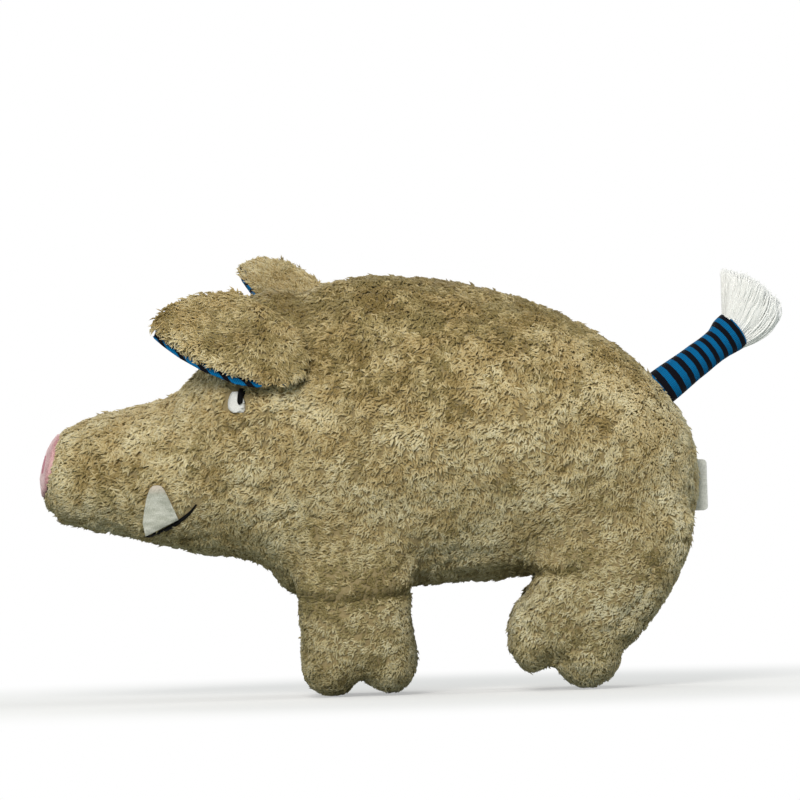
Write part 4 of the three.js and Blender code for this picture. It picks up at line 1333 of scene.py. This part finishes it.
# %% Felt tusks
TUSK_OUTLINE = [(-133.5, 82.4), (-134.7, 89.0), (-133.7, 95.5), (-132.5, 101.2),
                (-131.0, 105.4), (-129.4, 107.4), (-127.0, 107.8), (-124.8, 107.3),
                (-123.4, 105.4), (-121.0, 100.2), (-118.9, 95.2), (-116.8, 90.2),
                (-121.8, 88.0), (-127.5, 85.2)]
TUSK_SIDE = -53.4  # where the flat outline lies beside the head
FELT = 2.6
LEAN = 3.0  # how far the tusk bends in towards the cheek
PROUD = 2.2  # how far its middle stands out of the head, and its rim
PROUD_RIM = 1.4


def tusk_mesh():
    bm = bmesh.new()
    corners = [bm.verts.new((x * MM, TUSK_SIDE * MM, z * MM)) for x, z in TUSK_OUTLINE]
    bmesh.ops.triangulate(bm, faces=[bm.faces.new(corners)])
    bmesh.ops.subdivide_edges(bm, edges=bm.edges, cuts=5, use_grid_fill=True)
    for vertex in bm.verts:
        hit = head_surface.ray_cast(vertex.co + Vector((0, -0.03, 0)), Vector((0, 1, 0)))[0]
        proud = PROUD_RIM if vertex.is_boundary else PROUD
        surface = hit.y if hit else -50.0 * MM
        vertex.co.y = min(surface - proud * MM, vertex.co.y + LEAN * MM)
    made = bmesh.ops.extrude_face_region(bm, geom=list(bm.faces), use_keep_orig=True)
    inner = corners_and_edges(made)[0]
    bmesh.ops.translate(bm, verts=inner, vec=(0, FELT * MM, 0))
    bmesh.ops.recalc_face_normals(bm, faces=bm.faces)
    return to_mesh("tusk_left_felt", bm)


felt = Finish("white_felt", Roughness=0.95, Sheen_Weight=0.35)
fibres = felt.specks(0.35 * MM, 4.0, squeeze=(1, 1, 0.35), turn=(0, 0.4, 0))
creased_felt = felt.specks(4.5 * MM, 2.0, squeeze=(0.6, 1, 1.8), turn=(0, 0.3, 0))
mottled = fibres * 0.5 + creased_felt * 0.5
white = felt.mix(mottled.between(0.3, 0.7), colour(158, 160, 146), colour(208, 208, 198))
level = felt.node("ShaderNodeSeparateXYZ", None, {0: felt.place()})["Z"]
felt.paint("Base Color", felt.mix(level.between(0.102, 0.107) * 0.6, white,
                                  colour(206, 188, 172)))
felt.emboss(creased_felt * 0.8 + fibres * 0.3, 0.9 * MM)
tusk = tusk_mesh()
for made in on_both_sides(tusk, felt, "tusk_left"):
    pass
print("tusk:", len(tusk.polygons), "faces")

# %% [markdown]
# ## Snout
#
# The end of the snout is an oval patch of pink velour, padded and slightly domed, with two
# stitched nostrils in a stronger pink. Velour has a very short pile that looks pale where it is
# seen edge on, which sheen gives, and blotchy where it was stroked, which slow noise gives.

# %% Velour snout
velour = Finish("pink_velour", Roughness=0.9, Sheen_Weight=0.5,
                Sheen_Tint=(1.0, 0.9, 0.92, 1))
stroked = velour.specks(7 * MM, 2.0)
nap = velour.specks(0.8 * MM, 3.0)
velour.paint("Base Color", velour.mix((stroked * 0.4 + nap * 0.6).between(0.3, 0.7),
                                      colour(166, 102, 112), colour(226, 184, 184)))
velour.emboss(nap, 0.25 * MM)
snout_mesh = remeshed("snout_velour", ["snout_patch"], 0.8 * MM, 0.15 * MM, -0.1 * MM, 3)
snout = piece("snout_velour", snout_mesh, "torso", velour, ["snout_patch"])

nostril_thread = thread_finish("nostril_thread", colour(176, 96, 116), colour(204, 128, 146), 0.2)
TILT = math.radians(15)
AHEAD = (-math.cos(TILT), 0, math.sin(TILT))
# each row: height, and half the length of the stitch, in millimetres
NOSTRIL_ROWS = [(115.4, 1.2), (116.4, 2.2), (118.0, 2.9), (120.0, 3.1), (122.0, 2.8),
                (123.6, 2.0), (124.6, 1.1)]
for side, middle in (("left", -24.0), ("right", -4.0)):
    ends = [[(-184, middle - half, z), (-184, middle + half, z)] for z, half in NOSTRIL_ROWS]
    node = f"nostril_{side}"
    mesh = stitched(f"{node}_stitches", ends, snout_patch, AHEAD, FINE_THREAD, 0.5)
    piece(mesh.name, mesh, "torso", nostril_thread, [node])
print("snout faces:", len(snout_mesh.polygons))

# %% [markdown]
# ## Label
#
# A tape of white woven satin, folded in two, is caught in the rear seam and left bare. It is
# cut from a grid, its outer corners are rounded and it is waved a little, and then it gets the
# thickness of both layers. It folds about the seam, so it blends from the torso there.

# %% Woven label
LABEL_REACH = 3.3  # how far it stands out of the seam
LABEL_ROOT = 4.6  # how much of it is in the seam
LABEL_RUN = (86.6, 112.2)  # its lower and its upper end
LABEL_CORNER = 2.2
SEAM = Vector((144.0, -14.0, 99.4))


def label_mesh():
    bm = bmesh.new()
    low, high = LABEL_RUN
    middle = SEAM + Vector(((LABEL_REACH - LABEL_ROOT) / 2, 0, 0))
    bmesh.ops.create_grid(bm, x_segments=10, y_segments=80, size=0.5)
    bmesh.ops.scale(bm, vec=((LABEL_REACH + LABEL_ROOT) * MM, (high - low) * MM, 1),
                    verts=bm.verts)
    stand = Matrix.Translation(middle * MM) @ Matrix.Rotation(math.radians(90), 4, "X")
    bmesh.ops.transform(bm, matrix=stand, verts=bm.verts)
    outer = max(vertex.co.x for vertex in bm.verts)
    for vertex in bm.verts:
        end = min(vertex.co.z - low * MM, high * MM - vertex.co.z) / MM
        beyond = max(0, LABEL_CORNER - end)
        cut = LABEL_CORNER - math.sqrt(max(0, LABEL_CORNER ** 2 - beyond ** 2))
        vertex.co.x = min(vertex.co.x, outer - cut * MM)
        vertex.co.y += math.sin(vertex.co.z / (9 * MM)) * 0.12 * MM
    bmesh.ops.solidify(bm, geom=bm.faces, thickness=1.0 * MM)
    bmesh.ops.recalc_face_normals(bm, faces=bm.faces)
    return to_mesh("label_tape", bm)


tape = Finish("woven_tape", Roughness=0.55)
weave_along = tape.specks(0.35 * MM, 1.0, squeeze=(1, 1, 0.2))
weave_across = tape.specks(0.35 * MM, 1.0, squeeze=(0.2, 1, 1))
weave = weave_along * 0.5 + weave_across * 0.5
tape.paint("Base Color", tape.mix(weave.between(0.3, 0.7), colour(196, 198, 192),
                                  colour(226, 227, 222)))
tape.emboss(weave, 0.12 * MM)
tape_mesh = label_mesh()
label = piece("label_tape", tape_mesh, None, tape, ["label"])
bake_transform(label, "torso", "label", (SEAM - Vector((0.4, 0, 0))) * MM,
         (SEAM + Vector((1.6, 0, 0))) * MM)
print("label faces:", len(tape_mesh.polygons))
